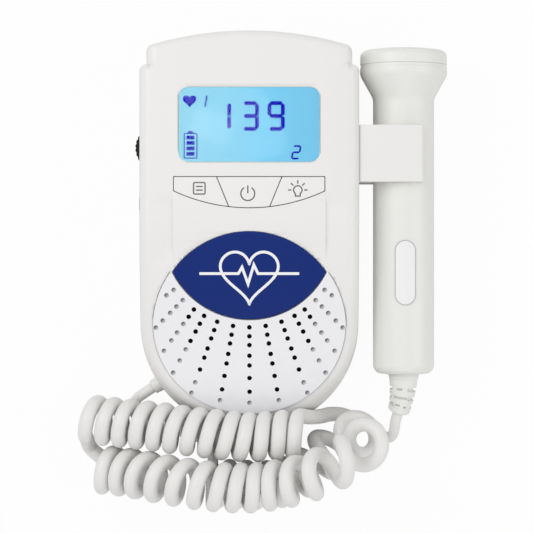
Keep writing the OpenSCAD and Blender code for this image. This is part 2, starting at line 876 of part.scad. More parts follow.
module cord_grommet() {
    flange_r0 = half_w - wall_t - grommet_flange_gap - grommet_flange_t;
    color([0.2, 0.2, 0.2]) grommet_frame() difference() {
        union() {
            translate([0, 0, flange_r0]) cylinder(r = grommet_flange_r, h = grommet_flange_t);
            translate([0, 0, flange_r0]) cylinder(r = grommet_neck_r, h = half_w + grommet_collar - flange_r0);
            translate([0, 0, half_w + grommet_collar])
                cylinder(r1 = grommet_neck_r, r2 = grommet_tip_r, h = grommet_out - grommet_collar);
        }
        translate([0, 0, flange_r0 - overcut]) cylinder(r = grommet_bore_r, h = grommet_bore_l + overcut);
    }
}

// ---- Batteries ----

module battery_door() {
    color([0.92, 0.92, 0.91]) difference() {
        union() {
            block(-door_half_l, door_half_l, door_axis_y, door_high_y, 0, door_t);
            translate([-door_half_l, door_axis_y, door_axis_z]) rotate([0, 90, 0])
                cylinder(r = door_t / 2, h = 2 * door_half_l, $fn = 32);
            translate([-door_half_l - door_pin_l, door_axis_y, door_axis_z]) rotate([0, 90, 0])
                cylinder(r = door_pin_r, h = 2 * (door_half_l + door_pin_l), $fn = 24);
        }
        // thumb notch and grip lines
        translate([0, door_high_y - thumb_notch_in, -thumb_notch_drop]) rotate([0, 90, 0])
            translate([0, 0, -thumb_notch_w / 2]) cylinder(r = thumb_notch_r, h = thumb_notch_w, $fn = 32);
        for (i = [0 : grip_lines - 1]) {
            grip_y = door_high_y - grip_from_edge - i * grip_pitch;
            block(-thumb_notch_w / 2, thumb_notch_w / 2, grip_y, grip_y + grip_line_w, -overcut, grip_depth);
        }
    }
}

module cell(side) {
    translate([0, bay_y + side * cell_pitch / 2, cell_z]) rotate([0, side * 90, 0]) {
        translate([0, 0, -cell_end_x]) cylinder(d = cell_d, h = cell_l - cell_tip_l);
        translate([0, 0, cell_end_x - cell_tip_l]) cylinder(r = cell_tip_r, h = cell_tip_l, $fn = 32);
    }
}

module battery_cells() {
    color([0.75, 0.6, 0.3]) {
        cell(-1);
        cell(1);
    }
}

module contact_pair(side) {
    room = bay_l / 2 - cell_end_x;
    translate([0, bay_y + side * cell_pitch / 2, cell_z]) rotate([0, side * 90, 0]) {
        // flat contact with its bump at the tip
        translate([contact_low_z - cell_z, -contact_w / 2, bay_l / 2 - contact_t])
            cube([contact_high_z - contact_low_z, contact_w, contact_t]);
        translate([0, 0, cell_end_x]) 
            cylinder(r1 = bump_tip_r, r2 = bump_foot_r, h = room - contact_t + bump_sink, $fn = 32);
        // plate and spring at the flat end
        translate([contact_low_z - cell_z, -contact_w / 2, -bay_l / 2])
            cube([contact_high_z - contact_low_z, contact_w, contact_t]);
        pitch = (room - contact_t - 2 * spring_wire_r + spring_sink) / (spring_rings - 1);
        for (i = [0 : spring_rings - 1])
            translate([0, 0, -cell_end_x - spring_wire_r - i * pitch]) rotate_extrude()
                translate([spring_r + i * spring_flare, 0]) circle(spring_wire_r, $fn = 16);
    }
}

module battery_contacts() {
    color([0.75, 0.76, 0.78]) {
        contact_pair(-1);
        contact_pair(1);
    }
}

module cross_head(r, h) {
    difference() {
        cylinder(r = r, h = h, $fn = 32);
        for (a = [0, 90])
            rotate([0, 0, a]) translate([-r * slot_share, -slot_w / 2, h * slot_depth - overcut])
                cube([2 * r * slot_share, slot_w, overcut]);
    }
}

module housing_screws() {
    color([0.7, 0.71, 0.73]) for (place = boss_places) {
        translate([place[0], place[1], screw_head_low_z]) cross_head(screw_head_r, screw_head_h);
        pin(place, screw_r, screw_head_low_z + screw_head_h * screw_seat, screw_end_z);
    }
}

// ---- Side holder ----

module probe_holder() {
    color([0.92, 0.92, 0.91]) difference() {
        translate([0, holder_length_low_y, 0]) translate([0, holder_l, 0]) rotate([90, 0, 0])
            linear_extrude(holder_l) difference() {
                union() {
                    translate([half_w, holder_low_z + holder_bevel])
                        square([holder_out_x - holder_corner_r - half_w,
                            holder_high_z - holder_low_z - 2 * holder_bevel]);
                    translate([half_w + holder_bevel, holder_low_z])
                        square([holder_out_x - holder_corner_r - half_w - holder_bevel,
                            holder_high_z - holder_low_z]);
                    for (z = [holder_low_z + holder_corner_r, holder_high_z - holder_corner_r])
                        translate([holder_out_x - holder_corner_r, z]) circle(holder_corner_r, $fn = 32);
                    translate([holder_out_x - holder_corner_r - overcut, holder_low_z + holder_corner_r])
                        square([holder_corner_r + overcut, holder_high_z - holder_low_z - 2 * holder_corner_r]);
                    for (z = [holder_low_z + holder_bevel, holder_high_z - holder_bevel])
                        translate([half_w + holder_bevel, z]) circle(holder_bevel, $fn = 32);
                }
                translate([probe_x, probe_z]) circle(holder_bore_r, $fn = 96);
            }
        for (side = [-1, 1])
            translate([half_w - overcut, holder_y + side * holder_screw_dy, holder_screw_z]) rotate([0, 90, 0])
                cylinder(r = screw_r + screw_fit, h = holder_screw_l + holder_screw_room + overcut, $fn = 32);
    }
}

module holder_screws() {
    color([0.7, 0.71, 0.73]) for (side = [-1, 1])
        translate([half_w - wall_t - screw_head_h, holder_y + side * holder_screw_dy, holder_screw_z])
            rotate([0, 90, 0]) {
                cross_head(screw_head_r, screw_head_h);
                translate([0, 0, screw_head_h * screw_seat])
                    cylinder(r = screw_r, h = holder_screw_l + wall_t + screw_head_h * (1 - screw_seat),
                        $fn = 32);
            }
}

// ---- Probe ----

// The probe's own frame: Z along the probe towards its face, zero at y.
module probe_frame(y) {
    translate([probe_x, y, probe_z]) rotate([-90, 0, 0]) children();
}

module probe_handle() {
    handle_l = bell_low_y - handle_low_y;
    color([0.91, 0.91, 0.9]) probe_frame(handle_low_y) rotate_extrude($fn = 96) difference() {
        union() {
            translate([0, handle_end_r]) square([handle_r, handle_l - handle_end_r]);
            square([handle_r - handle_end_r, handle_l]);
            translate([handle_r - handle_end_r, handle_end_r]) circle(handle_end_r);
        }
        translate([0, handle_end_t]) square([handle_in_r, handle_l]);
        translate([0, -overcut]) square([collar_neck_r + collar_fit, handle_l]);
    }
}

module probe_head() {
    bell_l = bell_high_y - bell_low_y;
    head_l = face_low_y - bell_low_y;
    in_r = handle_in_r - spigot_fit - spigot_t;
    color([0.91, 0.91, 0.9]) probe_frame(bell_low_y) rotate_extrude($fn = 96)
        polygon([[in_r, -spigot_l], [handle_in_r - spigot_fit, -spigot_l], [handle_in_r - spigot_fit, 0],
            [handle_r, 0], [head_r, bell_l], [head_r, head_l], [head_r - head_wall, head_l],
            [head_r - head_wall, bell_l], [in_r, head_wall]]);
}

module probe_face() {
    face_l = face_high_y - face_low_y;
    color([0.9, 0.9, 0.88]) probe_frame(face_low_y) rotate_extrude($fn = 96) difference() {
        union() {
            square([head_r, face_l - face_corner_r]);
            square([head_r - face_corner_r, face_l]);
            translate([head_r - face_corner_r, face_l - face_corner_r]) circle(face_corner_r);
        }
        translate([0, -overcut]) square([head_r - head_wall, face_l - face_t + overcut]);
    }
}

module crystal_carrier() {
    carrier_high = face_high_y - face_t - crystal_t;
    color([0.3, 0.3, 0.32]) probe_frame(carrier_high - carrier_t)
        cylinder(r = head_r - head_wall - carrier_gap, h = carrier_t, $fn = 96);
}

module probe_crystals() {
    color([0.85, 0.8, 0.7]) probe_frame(face_high_y - face_t - crystal_t) difference() {
        cylinder(r = crystal_r, h = crystal_t);
        translate([-crystal_split / 2, -crystal_r - overcut, -overcut])
            cube([crystal_split, 2 * (crystal_r + overcut), crystal_t + 2 * overcut]);
    }
}

module probe_board() {
    color([0.1, 0.35, 0.18]) block(probe_x - probe_board_w / 2, probe_x + probe_board_w / 2, probe_board_low_y,
        bell_low_y - spigot_l, probe_z - probe_board_t / 2, probe_z + probe_board_t / 2);
}

module probe_end_cap() {
    color([0.88, 0.88, 0.87]) probe_frame(relief_y) {
        cylinder(r = collar_r, h = collar_t);
        cylinder(r = collar_neck_r, h = collar_t + handle_end_t);
    }
}

// Bent sleeve: a round core along an arc with rings of shrinking radius round it.
module probe_strain_relief() {
    color([0.85, 0.85, 0.84]) translate([probe_x, relief_y, probe_z]) rotate([180, -relief_lean, 0])
        translate([-relief_bend_r, 0, 0]) {
            rotate_extrude(angle = relief_turn, $fn = 180) translate([relief_bend_r, 0]) circle(relief_core_r);
            for (i = [0 : relief_rings - 1])
                rotate([0, 0, i * relief_turn / relief_rings])
                    rotate_extrude(angle = relief_turn / relief_rings - relief_groove, $fn = 180)
                        translate([relief_bend_r, 0])
                            circle(relief_big_r + (relief_small_r - relief_big_r) * i / (relief_rings - 1));
        }
}

module probe_label() {
    color([0.97, 0.97, 0.97]) intersection() {
        probe_frame(label_y - label_l / 2) difference() {
            cylinder(r = handle_r + label_t, h = label_l, $fn = 96);
            translate([0, 0, -overcut]) cylinder(r = handle_r, h = label_l + 2 * overcut, $fn = 96);
        }
        translate([probe_x, label_y, probe_z]) linear_extrude(handle_r + label_reach) {
            for (side = [-1, 1]) translate([0, side * (label_l - label_w) / 2]) circle(d = label_w, $fn = 48);
            square([label_w, label_l - label_w], center = true);
        }
    }
}

// ---- Cords ----

// Smooth curve through rows of [knot, x, y, z]: the slope at a knot is the weighted mean of the
// slopes on both sides, and each span is a cubic with those slopes at its ends.
function row_point(row) = [row[1], row[2], row[3]];
function span_slope(rows, i) = (row_point(rows[i + 1]) - row_point(rows[i])) / (rows[i + 1][0] - rows[i][0]);
function knot_slope(rows, i) =
    i == 0 ? span_slope(rows, 0)
    : i == len(rows) - 1 ? span_slope(rows, i - 1)
    : let (before = rows[i][0] - rows[i - 1][0], after = rows[i + 1][0] - rows[i][0])
        (span_slope(rows, i - 1) * after + span_slope(rows, i) * before) / (before + after);
function span_index(rows, t, i = 0) = i < len(rows) - 2 && t >= rows[i + 1][0] ? span_index(rows, t, i + 1) : i;
function curve_point(rows, t) =
    let (i = span_index(rows, t), h = rows[i + 1][0] - rows[i][0], u = (t - rows[i][0]) / h)
    (2 * u * u * u - 3 * u * u + 1) * row_point(rows[i])
    + (u * u * u - 2 * u * u + u) * h * knot_slope(rows, i)
    + (3 * u * u - 2 * u * u * u) * row_point(rows[i + 1])
    + (u * u * u - u * u) * h * knot_slope(rows, i + 1);
function unit(v) = v / norm(v);
function last_knot(rows) = rows[len(rows) - 1][0];
function curve_heading(rows, t) =
    unit(curve_point(rows, min(t + 0.01, last_knot(rows))) - curve_point(rows, max(t - 0.01, 0)));

// A first normal carried along a list of headings without twisting.
function square_to(v, heading) = unit(v - heading * (v * heading));
function carried(headings, first) = [for (i = 0, v = square_to(first, headings[0]); i < len(headings);
    i = i + 1, v = i < len(headings) ? square_to(v, headings[i]) : v) v];

// Middle line of a curl: it winds once per knot, left-handed, round the curve through rows.
function curl_line(rows, phase) =
    let (n = floor(last_knot(rows) * curl_steps + 0.001),
        ts = [for (i = [0 : n]) i / curl_steps],
        heads = [for (t = ts) curve_heading(rows, t)],
        ups = carried(heads, [0, 0, 1]))
    [for (i = [0 : n]) curve_point(rows, ts[i])
        + curl_r * (cos(phase - 360 * ts[i]) * ups[i] + sin(phase - 360 * ts[i]) * cross(heads[i], ups[i]))];

// Tube of round sections along a line of points, closed at both ends.
module tube_along(line, d, sides) {
    n = len(line);
    heads = [for (i = [0 : n - 1]) unit(line[min(i + 1, n - 1)] - line[max(i - 1, 0)])];
    ups = carried(heads, [0, 0.2, 1]);
    ring = [for (i = [0 : n - 1]) for (k = [0 : sides - 1])
        line[i] + d / 2 * (cos(k * 360 / sides) * ups[i] + sin(k * 360 / sides) * cross(heads[i], ups[i]))];
    walls = [for (i = [0 : n - 2]) for (k = [0 : sides - 1])
        let (a = i * sides + k, b = i * sides + (k + 1) % sides)
        for (face = [[a, a + sides, b], [b, a + sides, b + sides]]) face];
    low = [for (k = [1 : sides - 2]) [0, k, k + 1]];
    high = [for (k = [1 : sides - 2]) [(n - 1) * sides, (n - 1) * sides + k + 1, (n - 1) * sides + k]];
    polyhedron(points = ring, faces = concat(walls, low, high), convexity = 20);
}

curl_steps = 8;
// Axis of the lower row, the bend and the upper row: [turn, x, y, z]
row_axis = [[0, -12, -84.8, 8.6], [1.9, 0, -85.4, 8.6], [3.1, 8.6, -85.2, 8.6], [4.2, 17, -82.4, 8.7],
    [5.3, 24, -76.6, 8.9], [6.1, 29.2, -71.2, 9.4], [6.8, 35.6, -68.2, 12], [7.55, 39.4, -68.8, 20.8],
    [8.3, 36.8, -71.6, 29.8], [9.1, 29, -76.2, 34.2], [10.1, 20.8, -80.2, 32], [11.2, 12.6, -82.8, 28.6],
    [12.4, 4.6, -84.4, 26.6], [13.9, -4, -84.8, 26.1], [16.2, -18, -83.8, 24.4], [18.1, -31, -82.2, 18.8],
    [19.7, -41, -80.9, 13], [20.75, -47.2, -80.3, 10.2], [21.5, -52, -80, 8.9]];
// Axis of the row that lies on the nose
nose_row_axis = [[0, -55, -62.8, 11], [0.8, -50.5, -63.3, 12], [4.2, -30.8, -65.1, 17],
    [7.4, -12.3, -67.2, 20.5],
    [9.5, -0.2, -68.2, 20.9], [11.8, 13, -67.4, 21.2], [12.5, 16.8, -67.2, 21.4]];
row_start = [[-12.6, -79.6, 2.5], [-12.4, -82.2, 2.5]];
row_link = [[-54.3, -73.8, 3]];
row_end = [[20.5, -61.9, 15], [24.6, -62, 7.8], [27.8, -61.6, 4], [31, -61.8, 2.5], [35, -63, 2.5]];

// The curly cord's two ends and the headings in which it leaves them
cord_face_gap = 0.02;
curl_in = unit(row_start[1] - row_start[0]);
curl_end = row_end[len(row_end) - 1];
curl_out = unit(curl_end - row_end[len(row_end) - 2]);

// Where the leads meet the grommet and the strain relief
grommet_out_dir = [cos(grommet_angle), sin(grommet_angle), 0];
grommet_mouth = [0, nose_y, grommet_z] + (half_w + grommet_out) * grommet_out_dir;
relief_side = [-cos(relief_lean), 0, -sin(relief_lean)];
relief_out_dir = [0, -cos(relief_turn), 0] + sin(relief_turn) * relief_side;
relief_mouth = [probe_x, relief_y, probe_z] + relief_bend_r
    * ([0, -sin(relief_turn), 0] + (1 - cos(relief_turn)) * relief_side);

// Routes of the straight leads, [knot, x, y, z]
unit_route = [[0, -38.4, -56, 5.4], [1, -40, -58.8, 3], [2, -39.3, -62, 2.2], [3, -35, -65.4, 2.1],
    [4, -28, -67, 2.1], [5, -21, -68.4, 2.1], [6, -15.6, -71, 2.2], [7, -13.3, -74, 2.4]];
probe_route = [[0, 41.6, -65.4, 2.3], [1, 44.6, -68.2, 2.7], [2, 47.4, -69.6, 5.3], [3, 48.9, -67.8, 9.4]];
route_steps = 3;

curl_points = concat(row_start, curl_line(row_axis, 180), row_link, curl_line(nose_row_axis, 90), row_end);
function route_points(rows) =
    [for (i = [0 : last_knot(rows) * route_steps]) curve_point(rows, i / route_steps)];

// Each lead leaves what it meets straight for one diameter, square to it.
unit_line = concat([grommet_mouth + cord_face_gap * grommet_out_dir, grommet_mouth + lead_d * grommet_out_dir],
    route_points(unit_route), [row_start[0] - lead_d * curl_in, row_start[0] - cord_face_gap * curl_in]);
probe_line = concat([curl_end + cord_face_gap * curl_out, curl_end + lead_d * curl_out],
    route_points(probe_route),
    [relief_mouth + lead_d * relief_out_dir, relief_mouth + cord_face_gap * relief_out_dir]);

// Least gap of a line of round section to itself, between points at least five apart.
function own_gap(line, d) =
    min([for (i = [0 : len(line) - 6]) for (j = [i + 5 : len(line) - 1]) norm(line[i] - line[j])]) - d;
function gap_between(a, b, d) = min([for (p = a) for (q = b) norm(p - q)]) - d;

module curly_cord() {
    gap = own_gap(curl_points, curl_d);
    echo(curly_cord_least_gap = gap, rings = len(curl_points));
    color([0.87, 0.87, 0.86]) tube_along(curl_points, curl_d, 6);
}

module unit_lead() {
    echo(unit_lead_to_curl = gap_between([for (i = [0 : len(unit_line) - 4]) unit_line[i]], curl_points,
        (lead_d + curl_d) / 2));
    color([0.87, 0.87, 0.86]) tube_along(unit_line, lead_d, 8);
}

module probe_lead() {
    echo(probe_lead_to_curl = gap_between([for (i = [2 : len(probe_line) - 1]) probe_line[i]], curl_points,
        (lead_d + curl_d) / 2));
    color([0.87, 0.87, 0.86]) tube_along(probe_line, lead_d, 8);
}

rear_housing();
front_housing();
speaker_cover();
badge();
display_window();
lcd_panel();
lcd_backlight();
mode_button();
power_button();
light_button();
tact_switches();
main_board();
speaker_frame();
speaker_cone();
volume_wheel();
volume_pot();
headphone_jack();
cord_grommet();
battery_door();
battery_cells();
battery_contacts();
housing_screws();
probe_holder();
holder_screws();
probe_head();
probe_face();
crystal_carrier();
probe_crystals();
probe_handle();
probe_board();
probe_end_cap();
probe_strain_relief();
probe_label();
unit_lead();
curly_cord();
probe_lead();
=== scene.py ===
# Pocket doppler: handheld unit, probe in its side clip, curly cord. Metres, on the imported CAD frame.
import math

import bmesh
import bpy
import numpy as np
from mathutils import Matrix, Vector


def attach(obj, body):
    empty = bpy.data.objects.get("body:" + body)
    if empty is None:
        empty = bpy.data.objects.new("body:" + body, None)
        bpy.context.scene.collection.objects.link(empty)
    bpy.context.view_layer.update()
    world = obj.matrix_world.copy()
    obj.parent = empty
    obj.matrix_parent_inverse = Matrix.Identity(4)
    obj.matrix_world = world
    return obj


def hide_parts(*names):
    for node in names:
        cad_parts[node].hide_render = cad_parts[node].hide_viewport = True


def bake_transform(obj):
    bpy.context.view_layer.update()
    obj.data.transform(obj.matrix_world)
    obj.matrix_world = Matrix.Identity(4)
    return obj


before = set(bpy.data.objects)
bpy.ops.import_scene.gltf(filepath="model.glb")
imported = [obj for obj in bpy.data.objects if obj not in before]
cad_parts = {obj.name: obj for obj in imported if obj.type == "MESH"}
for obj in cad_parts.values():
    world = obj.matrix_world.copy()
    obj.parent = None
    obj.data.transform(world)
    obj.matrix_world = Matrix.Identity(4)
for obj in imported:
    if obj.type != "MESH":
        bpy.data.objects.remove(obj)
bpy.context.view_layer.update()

# ---- Camera and studio ----
# A pale sweep under the object, a large soft lamp above to the left and a fill to the right.
# The camera looks straight down on the unit from about 0.75 m, as a product is shot on a table.
scene = bpy.context.scene
scene.view_settings.view_transform = "Standard"
camera_data = bpy.data.cameras.new("camera")
camera_data.sensor_width = 36
camera_data.lens = 154.1
camera_data.clip_start = 0.05
camera_data.clip_end = 20
camera = bpy.data.objects.new("camera", camera_data)
camera.location = (0.0057, -0.01095, 0.787)
scene.collection.objects.link(camera)
scene.camera = camera


def srgb(*levels):
    """Linear colour from 0-255 screen levels: the standard power curve with its straight foot."""
    c = np.array(levels[:3], float) / 255
    return (*np.where(c <= 0.04045, c / 12.92, ((c + 0.055) / 1.055) ** 2.4).tolist(), 1.0)


class Wire:
    """A shader socket that plain arithmetic works on: each operation adds a Math node."""

    def __init__(self, tree, socket):
        self.tree, self.socket = tree, socket

    def math(self, operation, other, clamp=False, other_first=False):
        node = self.tree.nodes.new("ShaderNodeMath")
        node.operation, node.use_clamp = operation, clamp
        for socket, value in zip(node.inputs, (other, self) if other_first else (self, other)):
            feed(socket, value)
        return Wire(self.tree, node.outputs[0])

    def __add__(self, other):
        return self.math("ADD", other)

    def __sub__(self, other):
        return self.math("SUBTRACT", other)

    def __mul__(self, other):
        return self.math("MULTIPLY", other)

    def __rsub__(self, other):
        return self.math("SUBTRACT", other, other_first=True)

    __radd__, __rmul__ = __add__, __mul__

    def clamped(self):
        return self.math("ADD", 0.0, clamp=True)


def feed(socket, value):
    """Link a Wire to a socket, or set a plain value on it."""
    if isinstance(value, Wire):
        value.tree.links.new(value.socket, socket)
    else:
        socket.default_value = value


class Finish:
    """The node tree of a material or world: node() adds any node from its type, settings and sockets."""

    def __init__(self, name, owner=None):
        self.owner = owner or bpy.data.materials.new(name)
        self.owner.use_nodes = True
        self.tree = self.owner.node_tree
        self.tree.nodes.clear()

    def node(self, kind, settings=None, out=0, inputs=None, **sockets):
        """Inputs are given by number in a dictionary, sockets by name."""
        node = self.tree.nodes.new("ShaderNode" + kind)
        for key, value in (settings or {}).items():
            if key == "stops":
                ramp = node.color_ramp
                for place, colour in value[2:]:
                    ramp.elements.new(place)
                for element, (place, colour) in zip(ramp.elements, value):
                    element.position, element.color = place, colour
            else:
                setattr(node, key, value)
        for index, value in (inputs or {}).items():
            feed(node.inputs[index], value)
        for key, value in sockets.items():
            wanted = key.replace("_", " ").lower()
            feed(next(s for s in node.inputs if s.name.lower() == wanted and s.enabled), value)
        return Wire(self.tree, node.outputs[out])

    def mix(self, factor, first, second):
        """Colour between first and second."""
        return self.node("Mix", {"data_type": "RGBA"}, 2, {0: factor, 6: first, 7: second})

    def noise(self, scale, detail=2.0):
        """Noise on Object coordinates; scale is in cycles per metre."""
        return self.node("TexNoise", Vector=self.node("TexCoord", out="Object"), Scale=scale, Detail=detail)

    def surface(self, shader, kind="OutputMaterial"):
        out = self.tree.nodes.new("ShaderNode" + kind)
        feed(out.inputs["Surface"], shader)
        return self.owner


def plastic(name, colour, rough, grain=0.00002, worn=0.04, **extra):
    """Moulded plastic: one colour with a faint drift, a fine spark-eroded grain and uneven gloss."""
    finish = Finish(name)
    dulled = tuple(c * 0.9 for c in colour[:3]) + (1,)
    tone = finish.mix((finish.noise(38, 3) * worn).clamped(), colour, dulled)
    gloss = (finish.noise(160) - 0.5) * 0.08 + rough
    skin = finish.node("Bump", Strength=0.35, Distance=grain, Height=finish.noise(4200))
    return finish.surface(finish.node("BsdfPrincipled", Base_Color=tone, Roughness=gloss, Normal=skin, **extra))


def lamp(name, place, size, power):
    """A square soft box at place, turned to the unit."""
    data = bpy.data.lights.new(name, "AREA")
    data.shape, data.size, data.energy = "SQUARE", size, power
    box = bpy.data.objects.new(name, data)
    box.location = place
    box.rotation_mode = "QUATERNION"
    box.rotation_quaternion = (-Vector(place)).to_track_quat("-Z", "Y")
    scene.collection.objects.link(box)
    return box


lamp("key", (-0.55, 0.35, 0.75), 0.6, 2.85)
lamp("fill", (0.75, -0.1, 0.6), 0.6, 1.35)
lamp("foot", (0.1, -0.8, 0.5), 0.5, 0.7)

world = bpy.data.worlds.new("studio")
scene.world = world
air = Finish("studio", world)
seen = air.node("LightPath", out="Is Camera Ray")
for kind_of_ray in ("Is Glossy Ray", "Is Transmission Ray"):
    seen = seen.math("MAXIMUM", air.node("LightPath", out=kind_of_ray))
sky = air.mix(seen, (0.66, 0.66, 0.66, 1), (1, 1, 1, 1))
air.surface(air.node("Background", Color=sky, Strength=1.0), "OutputWorld")


def add_mesh(name, points, faces, smooth=True):
    """A mesh object at the origin from an array of points and a list of faces."""
    mesh = bpy.data.meshes.new(name)
    mesh.from_pydata(np.asarray(points, float).tolist(), [], [list(map(int, f)) for f in faces])
    mesh.update()
    if smooth:
        mesh.polygons.foreach_set("use_smooth", np.ones(len(mesh.polygons), bool))
    thing = bpy.data.objects.new(name, mesh)
    scene.collection.objects.link(thing)
    return thing


floor_half, floor_z = 3, -0.0002
floor_corners = [(x * floor_half, y * floor_half, floor_z) for x, y in ((-1, -1), (1, -1), (1, 1), (-1, 1))]
floor = add_mesh("floor", floor_corners, [(0, 1, 2, 3)])
paper = Finish("white_paper")
paper_matt = paper.node("BsdfDiffuse", Color=(0.82, 0.82, 0.82, 1))
paper_glow = paper.node("Emission", Color=(1, 1, 1, 1), Strength=1.0)
paper_seen = paper.node("LightPath", out="Is Camera Ray") * 0.95
paper_mix = paper.node("MixShader", inputs={0: paper_seen, 1: paper_matt, 2: paper_glow})
floor.data.materials.append(paper.surface(paper_mix))

# ---- Curly cord and its two straight leads ----
# One PVC cord: a straight lead out of the unit, a curl of about 34 turns that lies in two rows and
# climbs over the nose, and a straight lead into the probe. Extruded, the curl wound on a rod and set.
lead_width = 0.0036
curl_width = 0.0050
curl_radius = 0.00605
curl_axis = np.array([
    (0, -12, -84.8, 8.6), (1.9, 0, -85.4, 8.6), (3.1, 8.6, -85.2, 8.6), (4.2, 17, -82.4, 8.7),
    (5.3, 24, -76.6, 8.9), (6.1, 29.2, -71.2, 9.4), (6.8, 35.6, -68.2, 12), (7.55, 39.4, -68.8, 20.8),
    (8.3, 36.8, -71.6, 29.8), (9.1, 29, -76.2, 34.2), (10.1, 20.8, -80.2, 32), (11.2, 12.6, -82.8, 28.6),
    (12.4, 4.6, -84.4, 26.6), (13.9, -4, -84.8, 26.1), (16.2, -18, -83.8, 24.4), (18.1, -31, -82.2, 18.8),
    (19.7, -41, -80.9, 13), (20.75, -47.2, -80.3, 10.2), (21.5, -52, -80, 8.9)])
nose_axis = np.array([
    (0, -55, -62.8, 11), (0.8, -50.5, -63.3, 12), (4.2, -30.8, -65.1, 17), (7.4, -12.3, -67.2, 20.5),
    (9.5, -0.2, -68.2, 20.9), (11.8, 13, -67.4, 21.2), (12.5, 16.8, -67.2, 21.4)])
curl_axis[:, 1:] /= 1000
nose_axis[:, 1:] /= 1000
curl_start = np.array([(-12.6, -79.6, 2.5), (-12.4, -82.2, 2.5)]) / 1000
curl_link = np.array([(-54.3, -73.8, 3)]) / 1000
curl_end = np.array([(20.5, -61.9, 15), (24.6, -62, 7.8), (27.8, -61.6, 4), (31, -61.8, 2.5), (35, -63, 2.5)]) / 1000
unit_knots = np.array([(-38.4, -56, 5.4), (-40, -58.8, 3), (-39.3, -62, 2.2), (-35, -65.4, 2.1), (-28, -67, 2.1),
                       (-21, -68.4, 2.1), (-15.6, -71, 2.2), (-13.3, -74, 2.4)]) / 1000
probe_knots = np.array([(41.6, -65.4, 2.3), (44.6, -68.2, 2.7), (47.4, -69.6, 5.3), (48.9, -67.8, 9.4)]) / 1000
# The grommet stands out of the round nose, whose middle is at nose_y.
nose_y, grommet_z, grommet_reach = -0.0308, 0.007, 0.0394
grommet_turn = math.radians(213)
grommet_out = np.array([math.cos(grommet_turn), math.sin(grommet_turn), 0])
grommet_mouth = np.array([0, nose_y, grommet_z]) + grommet_reach * grommet_out
# The strain relief leaves the probe's end at relief_y and bends to one side and down.
probe_x, probe_z, relief_y = 0.05195, 0.017, -0.0476
relief_turn, relief_bend = math.radians(24), 0.03
relief_side = np.array([-0.6, 0, -0.8])
relief_root = np.array([probe_x, relief_y, probe_z])
relief_out = np.array([0, -math.cos(relief_turn), 0]) + math.sin(relief_turn) * relief_side
relief_mouth = relief_root + relief_bend * (
    np.array([0, -math.sin(relief_turn), 0]) + (1 - math.cos(relief_turn)) * relief_side)


def unit_vector(v):
    """Each vector divided by its own length."""
    return v / np.linalg.norm(v, axis=-1, keepdims=True)


def through(knots, points, at):
    """Smooth curve: between knots a cubic whose end slopes are the weighted means of the chords' slopes."""
    step = np.diff(knots)
    chord = np.diff(points, axis=0) / step[:, None]
    inner = (chord[:-1] * step[1:, None] + chord[1:] * step[:-1, None]) / (step[1:] + step[:-1])[:, None]
    slope = np.vstack([chord[:1], inner, chord[-1:]])
    i = np.clip(np.searchsorted(knots, at, side="right") - 1, 0, len(knots) - 2)
    h = step[i][:, None]
    u = ((at - knots[i]) / step[i])[:, None]
    return ((2 * u**3 - 3 * u**2 + 1) * points[i] + (u**3 - 2 * u**2 + u) * h * slope[i]
            + (3 * u**2 - 2 * u**3) * points[i + 1] + (u**3 - u**2) * h * slope[i + 1])


def carried(headings, first):
    """A normal carried along the headings without twisting: each is the last one made square again."""
    ups = [unit_vector(first - headings[0] * np.dot(first, headings[0]))]
    for heading in headings[1:]:
        ups.append(unit_vector(ups[-1] - heading * np.dot(ups[-1], heading)))
    return np.array(ups)


def curl(rows, phase, per_turn):
    """Left-handed winding round the curve through rows, one turn for each knot unit."""
    at = np.linspace(0, rows[-1, 0], int(rows[-1, 0] * per_turn) + 1)
    middle = through(rows[:, 0], rows[:, 1:], at)
    ahead = through(rows[:, 0], rows[:, 1:], np.minimum(at + 0.01, rows[-1, 0]))
    behind = through(rows[:, 0], rows[:, 1:], np.maximum(at - 0.01, 0))
    headings = unit_vector(ahead - behind)
    ups = carried(headings, np.array([0, 0, 1.0]))
    angle = np.radians(phase - 360 * at)[:, None]
    return middle + curl_radius * (np.cos(angle) * ups + np.sin(angle) * np.cross(headings, ups))


def smooth_line(points, spacing):
    """The points joined by one smooth curve, with new points about spacing apart."""
    knots = np.concatenate([[0], np.cumsum(np.linalg.norm(np.diff(points, axis=0), axis=1))])
    at = np.linspace(0, knots[-1], max(2, int(knots[-1] / spacing)) + 1)
    return through(knots, points, at)


def face_out(mesh, merged=False):
    """Turn the faces of a closed mesh outwards; merged joins points that lie in one place first."""
    work = bmesh.new()
    work.from_mesh(mesh)
    if merged:
        bmesh.ops.remove_doubles(work, verts=work.verts, dist=1e-6)
    bmesh.ops.recalc_face_normals(work, faces=work.faces)
    work.to_mesh(mesh)
    work.free()


def ring_walls(rings, sides):
    """Quads between rings of points that follow each other, as rows of four point numbers."""
    rows, count = np.arange(rings - 1)[:, None], np.arange(sides)[None]
    a, b = rows * sides + count, rows * sides + (count + 1) % sides
    return np.stack([a, b, b + sides, a + sides], -1).reshape(-1, 4)


def swept(name, rings, crease=None, capped=True):
    """Closed skin over an array of rings, sides and X, Y and Z, with flat ends unless it narrows to a point."""
    count, sides = rings.shape[:2]
    faces = ring_walls(count, sides).tolist()
    if capped:
        faces += [list(range(sides))[::-1], list(range((count - 1) * sides, count * sides))]
    piece = add_mesh(name, rings.reshape(-1, 3), faces)
    face_out(piece.data, merged=not capped)
    if crease:
        piece.data.set_sharp_from_angle(angle=math.radians(crease))
    return piece


